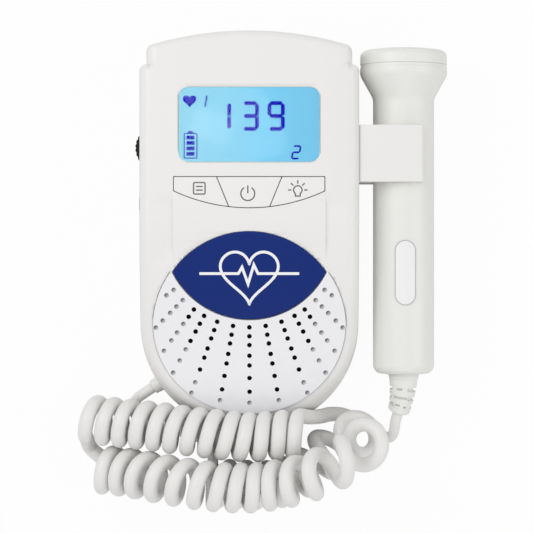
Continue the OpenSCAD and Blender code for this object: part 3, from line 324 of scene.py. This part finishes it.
def tube(name, line, width, sides):
    """Round tube along a line, on normals carried along it, with a soft rounded rim at both ends."""
    headings = unit_vector(np.gradient(line, axis=0))
    ups = carried(headings, np.array([0, 0.2, 1.0]))
    rim = width * 0.04
    line = np.vstack([line[:1], line[:1] + rim * headings[:1], line[1:-1],
                      line[-1:] - rim * headings[-1:], line[-1:]])
    headings = np.vstack([headings[:1], headings[:1], headings[1:-1], headings[-1:], headings[-1:]])
    ups = np.vstack([ups[:1], ups[:1], ups[1:-1], ups[-1:], ups[-1:]])
    radius = np.full(len(line), width / 2)
    radius[[0, -1]] -= rim
    turn = np.linspace(0, 2 * np.pi, sides, endpoint=False)[None, :, None]
    ring = line[:, None] + radius[:, None, None] * (
        np.cos(turn) * ups[:, None] + np.sin(turn) * np.cross(headings, ups)[:, None])
    return swept(name, ring), line


cord_pvc = plastic("cord_pvc", srgb(233, 232, 230), 0.42, grain=0.00001, worn=0.06)
points_per_turn = 16
coarse = np.vstack([curl(curl_axis, 180, points_per_turn), curl_link, curl(nose_axis, 90, points_per_turn)])
curl_points = np.vstack([curl_start, coarse, curl_end])
curl_in = unit_vector(curl_start[1] - curl_start[0])
curl_out = unit_vector(curl_end[-1] - curl_end[-2])
unit_points = np.vstack([grommet_mouth, grommet_mouth + lead_width * grommet_out, unit_knots,
                         curl_start[0] - lead_width * curl_in, curl_start[0]])
probe_points = np.vstack([curl_end[-1], curl_end[-1] + lead_width * curl_out, probe_knots,
                          relief_mouth + lead_width * relief_out, relief_mouth])
curly_cord, curl_rings = tube("curly_cord_tube", smooth_line(curl_points, 0.0012), curl_width, 20)
unit_lead, unit_rings = tube("unit_lead_tube", smooth_line(unit_points, 0.001), lead_width, 24)
probe_lead, probe_rings = tube("probe_lead_tube", smooth_line(probe_points, 0.001), lead_width, 24)
for cord, node, rings, width in ((unit_lead, "unit_lead", unit_rings, lead_width),
                                 (curly_cord, "curly_cord", curl_rings, curl_width),
                                 (probe_lead, "probe_lead", probe_rings, lead_width)):
    cord.data.materials.append(cord_pvc)
    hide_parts(node)
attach(unit_lead, "unit")
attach(curly_cord, "unit")
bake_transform(probe_lead)

# ---- Rear shell ----
# The lower half of the housing, with the battery bay and the screw bosses.
# Injection-moulded ABS, screwed to the front shell from the back.
shell_white = plastic("shell_white", srgb(235, 234, 232), 0.36)


def settle(piece, material, slot, body, *nodes):
    """Give a finished piece its material and body, and hide the CAD nodes that it stands for. The slot is not used.
    """
    piece.data.materials.append(material)
    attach(piece, body)
    if nodes:
        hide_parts(*nodes)
    return piece


def moulded(node, name, material, slot, body, edge, crease=32):
    """A copy of a CAD node as a finished moulding: doubles merged, flat faces joined, edges rounded. Without
    an edge radius, creases over the crease angle stay sharp."""
    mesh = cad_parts[node].data.copy()
    mesh.name = name
    work = bmesh.new()
    work.from_mesh(mesh)
    bmesh.ops.remove_doubles(work, verts=work.verts, dist=2e-6)
    bmesh.ops.dissolve_limit(work, angle_limit=math.radians(0.4), verts=work.verts, edges=work.edges)
    work.to_mesh(mesh)
    work.free()
    mesh.materials.clear()
    mesh.polygons.foreach_set("use_smooth", np.ones(len(mesh.polygons), bool))
    piece = bpy.data.objects.new(name, mesh)
    scene.collection.objects.link(piece)
    if edge:
        rounding = piece.modifiers.new("edge", "BEVEL")
        rounding.width, rounding.segments, rounding.limit_method = edge, 2, "ANGLE"
        rounding.angle_limit = math.radians(crease)
        rounding.use_clamp_overlap = True
        rounding.harden_normals = True
    else:
        mesh.set_sharp_from_angle(angle=math.radians(crease))
    piece.modifiers.new("even", "WEIGHTED_NORMAL").keep_sharp = True
    return settle(piece, material, slot, body, node)


moulded("rear_housing", "rear_shell", shell_white, "shell_white", "unit", 0.0002)

# ---- Front shell ----
# The upper half, which falls away towards the nose and carries the window, the buttons and the
# speaker cover. Injection-moulded ABS with a satin outside.
front_shell = moulded("front_housing", "front_shell", shell_white, "shell_white", "unit", 0)

# The front is flat down to slope_y, bends on an arc of slope_reach and falls on as a plane from nose_y.
slope_y, slope_reach, face_z = 0.00792, 0.110, 0.034
nose_z, nose_tilt = 0.02696, math.atan2(44, 117)
# The outer skin reaches past skin_x, lies above skin_z and faces up by more than skin_up
skin_x, skin_z, skin_up, skin_depth = 0.0215, 0.024, 0.02, 0.006
# Crown and scoop, in millimetres
crown_from, crown_rate = 24, 0.0055
scoop_from, scoop_step, scoop_depth, scoop_far, scoop_run = 25.15, 0.35, 0.85, 25.7, 9
scoop_half, scoop_low_fade, scoop_high_fade = 14, 6, 5
cover_clear, cover_fade = 32.25, 5


def front_height(y, proud):
    """Height of the front along the middle: flat, then an arc, then a plane, lifted by proud square to it."""
    y = np.asarray(y, float)
    arc_y = np.clip(y, nose_y, slope_y) - slope_y
    radius = slope_reach + proud
    arc = face_z - slope_reach + np.sqrt(radius**2 - (arc_y * radius / slope_reach) ** 2)
    plane = nose_z + (y - nose_y) * math.tan(nose_tilt) + proud / math.cos(nose_tilt)
    return np.where(y > slope_y, face_z + proud, np.where(y < nose_y, plane, arc))


def eased(t):
    """Smooth step from 0 to 1: three times the square less twice the cube."""
    t = np.clip(t, 0, 1)
    return t * t * (3 - 2 * t)


def cut_skin(mesh, cuts):
    """Cut the outer faces of the front at both sides along planes, each a place and a direction."""
    work = bmesh.new()
    work.from_mesh(mesh)
    for place, across in cuts:
        skin = [f for f in work.faces if f.normal.z > skin_up and max(abs(v.co.x) for v in f.verts) > skin_x
                and f.calc_center_median().z > skin_z]
        edges = {e for f in skin for e in f.edges}
        bmesh.ops.bisect_plane(work, geom=skin + list(edges) + list({v for e in edges for v in e.verts}),
                               plane_co=place, plane_no=across, dist=1e-6)
    work.to_mesh(mesh)
    work.free()


def read(collection, name, kind, width=1):
    """One attribute of all items of a collection as an array."""
    values = np.empty(len(collection) * width, kind)
    collection.foreach_get(name, values)
    return values.reshape(-1, width) if width > 1 else values


def crown_and_scoop(mesh):
    """Lower the front at both sides by a parabola from crown_from and, beside the keys, by a scoop that
    starts with a small step at scoop_from. Both fade out round the speaker cover."""
    cut_skin(mesh, [((x * side / 1000, 0, 0), (1, 0, 0)) for side in (-1, 1)
                    for x in (22, 24, 25.15, 25.25, 25.35, 25.45, 25.6, 26.2, 27.5, 29, 31, 33, 35)]
             + [((0, y / 1000, 0), (0, 1, 0)) for y in (*range(-16, 20, 1), *range(20, 66, 3))])
    spots = read(mesh.vertices, "co", float, 3)
    upward = read(mesh.polygons, "normal", float, 3)[:, 2] > skin_up
    outer = np.zeros(len(spots), bool)
    outer[read(mesh.loops, "vertex_index", int)[np.repeat(upward, read(mesh.polygons, "loop_total", int))]] = True
    x, y, z = spots.T
    outer &= z > front_height(y, 0) - skin_depth
    side, along = np.abs(x) * 1000, y * 1000
    crown = crown_rate * np.clip(side - crown_from, 0, None) ** 2
    beside_keys = eased((along + scoop_half) / scoop_low_fade) * eased((scoop_half - along) / scoop_high_fade)
    scoop = scoop_depth * eased((side - scoop_from) / scoop_step) * (1 - eased((side - scoop_far) / scoop_run))
    past_cover = eased((np.hypot(x, y - nose_y) * 1000 - cover_clear) / cover_fade)
    spots[outer, 2] -= ((crown + scoop * beside_keys) * past_cover / 1000)[outer]
    mesh.vertices.foreach_set("co", spots.ravel())
    mesh.set_sharp_from_angle(angle=math.radians(28))
    mesh.polygons.foreach_set("use_smooth", np.ones(len(mesh.polygons), bool))
    mesh.update()


crown_and_scoop(front_shell.data)

# ---- Speaker cover ----
# A thin glossier disc clipped into the nose, with columns of holes and blind dimples that fan out.
cover_white = plastic("cover_white", srgb(238, 238, 241), 0.26, grain=0.000008)
moulded("speaker_cover", "grille_cover", cover_white, "cover_white", "unit", 0.00012)

# ---- Badge ----
# A lens-shaped navy plate glued over the top of the cover, with a plain heart and pulse line in white.
badge_blue = plastic("badge_blue", srgb(14, 42, 116), 0.35, grain=0.000006, worn=0.1, Specular_IOR_Level=0.15)
moulded("badge", "badge_plate", badge_blue, "badge_blue", "unit", 0.00015)


def stroke(points, width, closed=False):
    """Both edges of a line of even width: each corner is mitred, the sum of the two normals over one plus
    their product."""
    p = np.asarray(points, float)
    ahead = unit_vector(np.roll(p, -1, 0) - p)
    if not closed:
        ahead[-1] = ahead[-2]
    behind = np.roll(ahead, 1, 0)
    if not closed:
        behind[0] = ahead[0]
    sharpest = 0.15
    together = np.maximum(1 + (ahead * behind).sum(1, keepdims=True), sharpest)
    along = (ahead + behind) / together * width / 2
    side = np.stack([-along[:, 1], along[:, 0]], -1)
    return p + side, p - side


def ribbon(points, width, closed=False, spacing=0.0007):
    """A band along a line as a strip of quads, cut across often enough to lie on a curved face."""
    edges = np.stack(stroke(points, width, closed), 1)
    if closed:
        edges = np.concatenate([edges, edges[:1]])
    lengths = np.linalg.norm(np.diff(edges.mean(1), axis=0), axis=1)
    cuts = np.maximum(1, np.ceil(lengths / spacing)).astype(int)
    at = np.concatenate([k + np.arange(count) / count for k, count in enumerate(cuts)])
    if not closed:
        at = np.append(at, len(cuts))
    k = np.minimum(at.astype(int), len(cuts) - 1)
    share = (at - k)[:, None, None]
    band = edges[k] * (1 - share) + edges[k + 1] * share
    n = len(band)
    i = np.arange(n if closed else n - 1)
    j = (i + 1) % n
    return np.vstack([band[:, 0], band[:, 1]]), np.stack([i, i + n, j + n, j], -1)


def print_on(name, shapes, height, thick, material, slot, body):
    """Ink or foil: flat shapes in X and Y laid on a height function of both, thick at the edge and closed."""
    points, faces, start = [], [], 0
    for flat, quads in shapes:
        z = height(flat[:, 0], flat[:, 1])
        n = len(flat)
        points += [np.column_stack([flat, z]), np.column_stack([flat, z - thick])]
        top = [[int(v) + start for v in q] for q in quads]
        faces += top + [[v + n for v in reversed(q)] for q in top]
        edges = {(a, b) for q in top for a, b in zip(q, q[1:] + q[:1])}
        faces += [[b, a, a + n, b + n] for a, b in sorted(edges) if (b, a) not in edges]
        start += 2 * n
    piece = add_mesh(name, np.vstack(points), faces, smooth=False)
    face_out(piece.data)
    return settle(piece, material, slot, body)


print_white = plastic("print_white", srgb(244, 244, 246), 0.45)
turn = np.linspace(0, 2 * np.pi, 72, endpoint=False)
heart = np.stack([16 * np.sin(turn) ** 3, 13 * np.cos(turn) - 5 * np.cos(2 * turn) - 2 * np.cos(3 * turn)
                  - np.cos(4 * turn)], -1) / 1000
pulse = np.array([(-16.5, 0), (-3.6, 0), (-2.4, 2.1), (-0.4, -3.4), (1.5, 2.9), (2.9, 0), (16.5, 0)]) / 1000
badge_middle, badge_line, badge_print_proud = np.array([0, -0.0133]), 0.0009, 0.00036
print_on("badge_print", [ribbon(heart * 0.6 + badge_middle, badge_line, True),
                         ribbon(pulse + badge_middle, badge_line)],
         lambda x, y: front_height(y, badge_print_proud), 0.0001, print_white, "label_white", "unit")

# ---- Painted shade in the holes and dimples of the grille ----
# Black discs at the bottom of the open holes are painted shade. The blind dimples beside them are only
# 0.6 mm deep and round at the bottom; grey cups in them are painted shade, darker on the side of the key light.
grille_rings = np.array([31.3, 34.3, 37.3, 40.9, 44.2, 48.5, 53.2, 57]) / 1000
# Angle of each column, its spots and how many of them from the badge outwards are open
grille_columns = [(0, 8, 7), (10, 8, 7), (20, 8, 6), (28.7, 7, 4), (36, 6, 2), (44.7, 5, 0), (53, 2, 0)]
grille_y, cover_proud, hole_shade_sunk, hole_shade_radius = 0.0001, 0.0008, 0.0009, 0.00078
hole_shade_black = plastic("hole_shade_black", srgb(12, 12, 13), 0.9, Specular_IOR_Level=0.05)


def circle(x, y, r, start=0, stop=360, count=40):
    """Points on an arc round (x, y), counted from the top, clockwise, in degrees."""
    a = np.radians(np.linspace(start, stop, count, endpoint=(stop - start) < 360))
    return np.stack([x + r * np.sin(a), y + r * np.cos(a)], -1)


def grille_spots(open_ones):
    """Centres of the open holes or of the blind ones: polar places, in columns on both sides of the middle."""
    spots = []
    for angle, count, open_count in grille_columns:
        rings = grille_rings[:open_count] if open_ones else grille_rings[open_count:count]
        away, down = rings * math.sin(math.radians(angle)), grille_y - rings * math.cos(math.radians(angle))
        spots += [np.stack([side * away, down], -1) for side in ([1] if angle == 0 else [-1, 1])]
    return np.vstack(spots)


# A black disc a little under the face in each open hole: painted shade of the hole.
hole_shade_discs = [(circle(x, y, hole_shade_radius, count=20)[::-1], [list(range(20))]) for x, y in grille_spots(True)]
print_on("grille_hole_shade", hole_shade_discs,
         lambda x, y: front_height(y, cover_proud) - hole_shade_sunk, 0.00005, hole_shade_black, "cone_black", "unit")

# Grey cups in the white blind dimples, dark at the upper left and light at the lower right: painted shade of the
# dimples under the key light.
dimple_painted_shade = Finish("dimple_painted_shade")
dimple_light = dimple_painted_shade.node("Attribute", {"attribute_name": "light"}, out="Fac")
dimple_shade = dimple_painted_shade.surface(dimple_painted_shade.node(
    "BsdfPrincipled", Base_Color=dimple_painted_shade.mix(dimple_light, srgb(96, 96, 99), srgb(206, 206, 209)),
    Roughness=0.6, Specular_IOR_Level=0.15))


def dimple_bowls(radius, depth, lip=0.00008, under=0.00015, sides=20):
    """Closed round cups: each profile ring sinks by depth times one minus its share of the radius squared.
    The light attribute runs from 0 at the upper left of each cup to 1 at the lower right, and it sets painted shade."""
    share = np.array([0.15, 0.4, 0.62, 0.8, 0.93, 1])
    reach = np.append(share, 1.0) * radius
    sink = np.append(lip + depth * (1 - share**2), depth + under)
    turn = np.linspace(0, 2 * np.pi, sides, endpoint=False)
    away = reach[:, None, None] * np.stack([np.sin(turn), np.cos(turn)], -1)
    flat = grille_spots(False)[:, None, None] + away
    z = front_height(flat[..., 1], cover_proud) - sink[:, None]
    per_cup = len(reach) * sides
    one = ring_walls(len(reach), sides).tolist()
    one += [list(range(sides))[::-1], list(range(per_cup - sides, per_cup))]
    faces = [[v + first for v in face] for first in range(0, len(flat) * per_cup, per_cup) for face in one]
    piece = add_mesh("grille_dimples", np.concatenate([flat, z[..., None]], -1).reshape(-1, 3), faces)
    light = np.broadcast_to(0.5 + 0.5 * (away[..., 0] - away[..., 1]) / radius, flat.shape[:-1]).ravel()
    piece.data.attributes.new("light", "FLOAT", "POINT").data.foreach_set("value", np.clip(light, 0, 1))
    face_out(piece.data)
    piece.data.set_sharp_from_angle(angle=math.radians(50))
    settle(piece, dimple_shade, "cover_white", "unit")


dimple_bowls(0.00079, 0.00038)

# ---- Buttons ----
# Three keys in one row under the display: list, power and light. ABS caps on sprung stems, their
# signs printed in warm grey.
key_white = plastic("key_white", srgb(236, 235, 233), 0.34)
key_ink = plastic("key_ink", srgb(112, 107, 107), 0.5)
for node, body in (("mode_button", "mode_key"), ("power_button", "power_key"), ("light_button", "light_key")):
    moulded(node, node + "_cap", key_white, "shell_white", body, 0.00025)
# Edge of the row: half width, top and lowest point, and the radius of its bowed lower side
keys_half, keys_top, keys_low, keys_round = 0.0251, 0.01885, 0.0083, 0.05905
# A dark strip just under the face along the gaps round and between the keys: painted shade, for the shade down in
# the gaps.
gap_shade_inset, gap_shade_width, gap_shade_z = 0.000125, 0.00023, 0.03388
gap_shade_black = plastic("gap_shade_black", srgb(38, 36, 34), 0.7, Specular_IOR_Level=0.1)


def flat_at(z):
    """A height function that gives z everywhere."""
    return lambda x, y: np.full(len(y), z)


def rounded(x, y, w, h, r, count=6):
    """Outline of a rectangle with rounded corners, anticlockwise."""
    a = np.radians(np.concatenate([np.linspace(s, s + 90, count) for s in (0, 90, 180, 270)]))
    cx = np.repeat([1, -1, -1, 1], count) * (w / 2 - r) + x
    cy = np.repeat([1, 1, -1, -1], count) * (h / 2 - r) + y
    return np.stack([cx + r * np.cos(a), cy + r * np.sin(a)], -1)


bow = np.linspace(-1, 1, 41) * (keys_half - gap_shade_inset)
bow_y = keys_low + keys_round - np.sqrt((keys_round - gap_shade_inset) ** 2 - bow**2)
row_corners = [(side * (keys_half - gap_shade_inset), keys_top - gap_shade_inset) for side in (1, -1)]
row_edge = np.vstack([np.column_stack([bow, bow_y]), row_corners])
splits = [ribbon([(side * 0.01082, keys_top - 0.0002), (side * 0.00657, keys_low + 0.0006)], gap_shade_width)
          for side in (-1, 1)]
print_on("key_gap_shade", [ribbon(row_edge, gap_shade_width, True)] + splits, flat_at(gap_shade_z), 0.0003, gap_shade_black,
         "black_plastic", "unit")

ink_line, ink_z = 0.00045, 0.03463


def key_sign(name, key, x, y, lines):
    """Lines of ink on a key, each a list of points about (x, y) and whether it closes."""
    print_on(name, [ribbon(np.asarray(points) + (x, y), ink_line, closed) for points, closed in lines],
             flat_at(ink_z), 0.00006, key_ink, "black_plastic", key)


key_sign("mode_sign", "mode_key", -0.01646, 0.01484,
         [(rounded(0, 0, 0.0038, 0.0038, 0.0004), True)]
         + [([(-0.0011, y), (0.0011, y)], False) for y in (0.0006, -0.0006)])
key_sign("power_sign", "power_key", -0.00047, 0.01309,
         [(circle(0, 0, 0.00229, 32, 328), False), ([(0, 0.0001), (0, 0.0027)], False)])
beams = [([(r * math.sin(a), r * math.cos(a)) for r in (0.0021, 0.0032)], False)
         for a in np.radians([-90, -45, 0, 45, 90])]
socket_line = [(-0.0008, -0.00115), (-0.0008, -0.0020), (0.0008, -0.0020), (0.0008, -0.00115)]
key_sign("light_sign", "light_key", 0.01602, 0.01428,
         [(circle(0, 0, 0.0014, -145, 145), False), (socket_line, False)] + beams)

# ---- Display ----
# A backlit blue LCD on its white light guide, its front film glued under a clear acrylic window that
# sits flush in the shell. The segments are part of the glass.
window_y, window_w, window_h, window_round = 0.036, 0.0465, 0.0246, 0.00315
pane_low, pane_high, film_z, symbols_z = 0.0327, 0.03396, 0.03256, 0.03262
window_edge = rounded(0, window_y, window_w, window_h, window_round, 12)
lcd = Finish("lcd_blue")
lcd_x = lcd.node("SeparateXYZ", Vector=lcd.node("TexCoord", out="Object"))
across = (lcd_x * (1 / window_w) + 0.5).clamped()
# The backlight's blue glow is real; its lighter left part is painted reflection of the glare, over the real
# reflection of the strip lamp in the window.
lcd_glow_painted_glare = lcd.node("ValToRGB", {"stops": [(0.0, srgb(139, 209, 232)), (0.45, srgb(126, 205, 236)),
                                           (0.62, srgb(119, 205, 240)), (1.0, srgb(114, 194, 230))]}, Fac=across)
lcd_blue = lcd.surface(lcd.node("BsdfPrincipled", Base_Color=(0.01, 0.02, 0.03, 1), Roughness=0.5,
                                Specular_IOR_Level=0.0, Emission_Color=lcd_glow_painted_glare, Emission_Strength=1.0))
glow_white = plastic("backlight_white", srgb(235, 240, 245), 0.5)


def paint(node, material):
    """A material straight on a CAD node that keeps its plain shape."""
    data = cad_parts[node].data
    data.materials.clear()
    data.materials.append(material)


paint("lcd_panel", lcd_blue)
paint("lcd_backlight", glow_white)
print_on("lcd_film", [(window_edge, [list(range(len(window_edge)))])], flat_at(film_z), 0.00005, lcd_blue,
         "lcd_blue", "unit")
ink_blue = Finish("lcd_segments")
lcd_ink = ink_blue.surface(ink_blue.node(
    "BsdfPrincipled", Base_Color=(0.0, 0.0, 0.02, 1), Roughness=0.5, Specular_IOR_Level=0.0,
    Emission_Color=(0.0, 0.0, 0.46, 1), Emission_Strength=1.0))


def segment(x0, y0, x1, y1, w):
    """One bar of a digit: a long octagon from end to end."""
    a, b = np.array([x0, y0]), np.array([x1, y1])
    d = unit_vector(b - a)
    s = np.array([-d[1], d[0]]) * w / 2
    blunt, tip = s * 0.4, d * w * 0.32
    outline = [a + blunt, a - blunt, a + tip - s, b - tip - s, b - blunt, b + blunt, b - tip + s, a + tip + s]
    return np.array(outline), [list(range(8))]


# Bars of each digit: the corners are 0-5, two columns by three rows, from the top left
BARS = {"1": ["13", "35"], "2": ["01", "13", "23", "24", "45"], "3": ["01", "13", "23", "35", "45"],
        "9": ["01", "02", "13", "23", "35", "45"]}


def digit(sign, x, y, w, h, line, lean=0.0):
    """A seven-bar digit centred on (x, y)."""
    corners = [(x + (i % 2 - 0.5) * w, y + (1 - i // 2) * h / 2) for i in range(6)]
    bars = []
    for a, b in BARS[sign]:
        (x0, y0), (x1, y1) = corners[int(a)], corners[int(b)]
        gap = line * 0.12
        dx, dy = np.sign(x1 - x0) * gap, np.sign(y1 - y0) * gap
        p, f = segment(x0 + dx, y0 + dy, x1 - dx, y1 - dy, line)
        p[:, 0] += lean * (p[:, 1] - y)
        bars.append((p, f))
    return bars


rate_size = (0.00443, 0.0085, 0.0013)
ink = [bar for sign, x in (("1", -0.00886), ("3", 0.00034), ("9", 0.00887))
       for bar in digit(sign, x, 0.0388, *rate_size)]
ink += digit("1", -0.0149, 0.0437, 0.0012, 0.0038, 0.00055, 0.15)
ink += digit("2", 0.0155, 0.0268, 0.0023, 0.0041, 0.00062, 0.15)
ink += [(heart * 0.142 + np.array([-0.01971, 0.0439]), [list(range(len(heart)))[::-1]])]
# The battery: its case, its pole and its four bars
ink += [ribbon(rounded(-0.0194, 0.02895, 0.0042, 0.0081, 0.0002, 3), 0.00035, True),
        (rounded(-0.0195, 0.03345, 0.0017, 0.0009, 0.0001, 2), [list(range(8))])]
ink += [(rounded(-0.01942, y, 0.00265, 0.00126, 0.0001, 2), [list(range(8))])
        for y in (0.0317, 0.0299, 0.0281, 0.0263)]
print_on("lcd_symbols", ink, flat_at(symbols_z), 0.00004, lcd_ink, "lcd_blue", "unit")

# Less than the index of plain acrylic, as for a face that is coated against glare
pane_index = 1.22
clear = Finish("window_clear")
window_clear = clear.surface(clear.node("BsdfPrincipled", Base_Color=(1, 1, 1, 1), Roughness=0.02,
                                        Transmission_Weight=1.0, IOR=pane_index))


def slab(name, outline, low, high, edge):
    """A plate with upright sides from an outline, its top edge rounded by a quarter circle of points."""
    turns = np.linspace(0, np.pi / 2, 5)
    inward = np.append(0, edge * (1 - np.cos(turns)))
    heights = np.append(low, high - edge + edge * np.sin(turns))
    centre = outline.mean(0)
    half = np.abs(outline - centre).max(0)
    rings = [np.column_stack([centre + (outline - centre) * (1 - i / half), np.full(len(outline), z)])
             for i, z in zip(inward, heights)]
    return swept(name, np.array(rings), 40)


settle(slab("window_pane", window_edge, pane_low, pane_high, 0.0001), window_clear, "window_clear", "unit",
       "display_window")
# The strip light over the table, which the left part of the window mirrors up to its slanted edge.
strip = lamp("strip", (-0.0495, 0.1045, 0.9), 0.1, 0.22)
strip.data.shape, strip.data.size_y = "RECTANGLE", 0.13
strip.rotation_mode = "XYZ"
strip.rotation_euler = (0, 0, math.radians(-16.3))
strip.visible_camera = False
strip.visible_diffuse = False

# ---- Volume wheel, socket and grommet ----
# A knurled black wheel on its potentiometer and a headphone socket, both in the left flank, and the
# soft PVC grommet that the cord leaves through.
wheel_black = plastic("wheel_black", srgb(26, 24, 23), 0.5, Specular_IOR_Level=0.2)
black_plastic = plastic("black_plastic", srgb(30, 30, 30), 0.45, Specular_IOR_Level=0.3)
moulded("volume_wheel", "knurled_wheel", wheel_black, "wheel_black", "wheel", 0.00008)
moulded("headphone_jack", "socket_body", black_plastic, "black_plastic", "unit", 0.0001)
moulded("cord_grommet", "rubber_grommet", cord_pvc, "cord_pvc", "unit", 0.0001)

# ---- Battery door ----
# The door over the two AA cells, in the back of the unit. Injection-moulded ABS, hung on a pin at each
# end of one long edge.
moulded("battery_door", "door_plate", shell_white, "shell_white", "door", 0.0002)

# ---- Parts inside the unit and the probe ----
# Cells, contacts, boards, switches, loudspeaker and crystals in their own materials. They keep the
# plain shapes of the CAD nodes, because the housings hide them.
cell_jacket = plastic("cell_jacket", srgb(196, 198, 200), 0.35)
contact_nickel = plastic("contact_nickel", srgb(190, 190, 185), 0.28, Metallic=1.0)
screw_steel = plastic("screw_steel", srgb(170, 170, 172), 0.35, Metallic=1.0)
board_green = plastic("board_green", srgb(20, 90, 50), 0.4)
speaker_steel = plastic("speaker_steel", srgb(150, 150, 150), 0.4, Metallic=1.0)
cone_black = plastic("cone_black", srgb(28, 28, 30), 0.7)
crystal_cream = plastic("crystal_cream", srgb(225, 215, 190), 0.5)
for node, material in (("battery_cells", cell_jacket), ("battery_contacts", contact_nickel),
                       ("housing_screws", screw_steel), ("holder_screws", screw_steel),
                       ("main_board", board_green), ("tact_switches", black_plastic), ("volume_pot", black_plastic),
                       ("speaker_frame", speaker_steel), ("speaker_cone", cone_black),
                       ("crystal_carrier", black_plastic), ("probe_crystals", crystal_cream),
                       ("probe_board", board_green)):
    paint(node, material)

# ---- Probe holder ----
# A block with a bore for the handle, screwed to the right side of the housing.
moulded("probe_holder", "side_clip", shell_white, "shell_white", "unit", 0.0006)

# ---- Probe ----
# A bell-shaped head with its face cap on a straight handle, which an end cap closes. All are moulded
# in ABS and round about one axis, so the head and the cap are lathed from their profiles.
probe_white = plastic("probe_white", srgb(233, 233, 229), 0.33)


def turned(name, profile, rounding, node, sides=128):
    """Lathe along Y round the probe's axis from radii and Y in millimetres. Each corner of the profile is cut
    round by an arc of its own radius, which touches both sides."""
    p = np.array(profile, float) / 1000
    points = [p[0]]
    for before, corner, after, r in zip(p[:-2], p[1:-1], p[2:], np.array(rounding) / 1000):
        d0, d1 = unit_vector(before - corner), unit_vector(after - corner)
        half = math.acos(max(-1, min(1, float(d0 @ d1)))) / 2
        if r == 0 or abs(half - math.pi / 2) < 0.01:
            points.append(corner)
            continue
        start, middle = corner + d0 * r / math.tan(half), corner + unit_vector(d0 + d1) * r / math.sin(half)
        x, y = start - middle
        swing = (math.pi - 2 * half) * (-1 if d0[0] * d1[1] > d0[1] * d1[0] else 1)
        t = np.linspace(0, swing, 9)
        points += list(middle + np.stack([x * np.cos(t) - y * np.sin(t), x * np.sin(t) + y * np.cos(t)], -1))
    radius, y = np.array(points + [p[-1]]).T[..., None]
    turn = np.linspace(0, 2 * np.pi, sides, endpoint=False)
    rings = np.stack([probe_x + radius * np.cos(turn), np.repeat(y, sides, 1), probe_z + radius * np.sin(turn)], -1)
    settle(swept(name, rings, 35, capped=False), probe_white, "probe_white", "probe", node)


for node in ("probe_handle", "probe_end_cap"):
    moulded(node, node + "_shell", probe_white, "probe_white", "probe", 0.0002)
turned("probe_bell", [(0, 44), (8, 44), (10.275, 43.9), (10.275, 45.6), (14.65, 53.4), (14.65, 55.7), (14.45, 55.9),
                      (14.45, 56.9), (0, 56.9)], (0, 0.1, 4.6, 4.2, 0.1, 0.1, 0.2), "probe_head")
turned("probe_cap_face", [(0, 56.92), (14.6, 56.92), (14.6, 61.5), (9, 62.25), (0, 62.6)], (0.2, 2.2, 20),
       "probe_face")

# ---- Strain relief ----
# A tapered sleeve of soft PVC in the white of the probe, round the lead where it leaves the probe's
# end. Short slots on both sides let it bend.
relief_big, relief_small, relief_length = 0.00488, 0.00365, relief_bend * relief_turn
collar_proud, collar_long, collar_step = 0.00018, 1.1, 0.2
mouth_round, root_round, root_long = 0.00035, 0.0001, 0.0002
slot_depth, slot_step, slot_turn_step = 0.0011, 0.12, 4
# Each slot: place along it in mm, half width, and the span round it in degrees from the top
relief_slots = [(4.4, 0.55, 20, 122), (4.3, 0.26, -31, -6), (7.0, 0.3, -52, 66), (7.35, 0.5, 30, 120),
                (9.7, 0.62, -125, -37), (9.55, 0.28, -30, -8), (9.9, 0.26, 16, 30)]


def slotted_relief(rings=170, sides=150):
    """Tapered sleeve swept along the relief's arc. Each slot sinks the radius between two steep steps along
    it and two round it, and comes again on the far side."""
    at = np.linspace(0, relief_length, rings)
    bend = at / relief_bend
    across, down = relief_side, np.array([0, -1.0, 0])
    middle = relief_root + relief_bend * (
        np.sin(bend)[:, None] * down + (1 - np.cos(bend))[:, None] * across)
    heading = np.cos(bend)[:, None] * down + np.sin(bend)[:, None] * across
    up = unit_vector(np.array([0, 0, 1.0]) - heading * heading[:, 2:])
    right = np.cross(up, heading)
    turn = np.linspace(-180, 180, sides, endpoint=False)
    place = at[:, None] * 1000
    sunk = np.zeros((rings, sides))
    for middle_at, half, start, stop in relief_slots:
        along = 1 - eased((np.abs(place - middle_at) - half + slot_step / 2) / slot_step)
        for half_turn in (0, 180):
            away = np.abs((turn - half_turn - (start + stop) / 2 + 180) % 360 - 180)
            past_end = away - (stop - start) / 2 + slot_turn_step / 2
            sunk = np.maximum(sunk, along * (1 - eased(past_end / slot_turn_step)))
    radius = relief_big + (relief_small - relief_big) * (at / relief_length)
    radius += collar_proud * (1 - eased((at * 1000 - collar_long) / collar_step))
    radius -= mouth_round * (1 - eased((relief_length - at) / mouth_round))
    radius -= root_round * (1 - eased(at / root_long))
    radius = (radius[:, None] - slot_depth * sunk)[..., None]
    a = np.radians(turn)[:, None]
    ring = middle[:, None] + radius * (np.cos(a) * up[:, None] + np.sin(a) * right[:, None])
    return swept("slotted_relief", ring, 40)


settle(slotted_relief(), probe_white, "probe_white", "probe", "probe_strain_relief")

# ---- Probe label ----
# A bare white pill-shaped label glued lengthwise on the handle, with a thin grey printed edge.
label_white = plastic("label_white", srgb(240, 240, 241), 0.3)
label_edge = plastic("label_edge", srgb(186, 186, 188), 0.4)
moulded("probe_label", "bare_label", label_white, "label_white", "probe", 0.00005)
label_y, label_w, label_l, label_round, label_face_r = -0.013, 0.0068, 0.0215, 0.00338, 0.01048
print_on("label_rim", [ribbon(rounded(probe_x, label_y, label_w, label_l, label_round, 14), 0.0003, True)],
         lambda x, y: probe_z + np.sqrt(label_face_r**2 - (x - probe_x) ** 2), 0.0001, label_edge, "label_white",
         "probe")
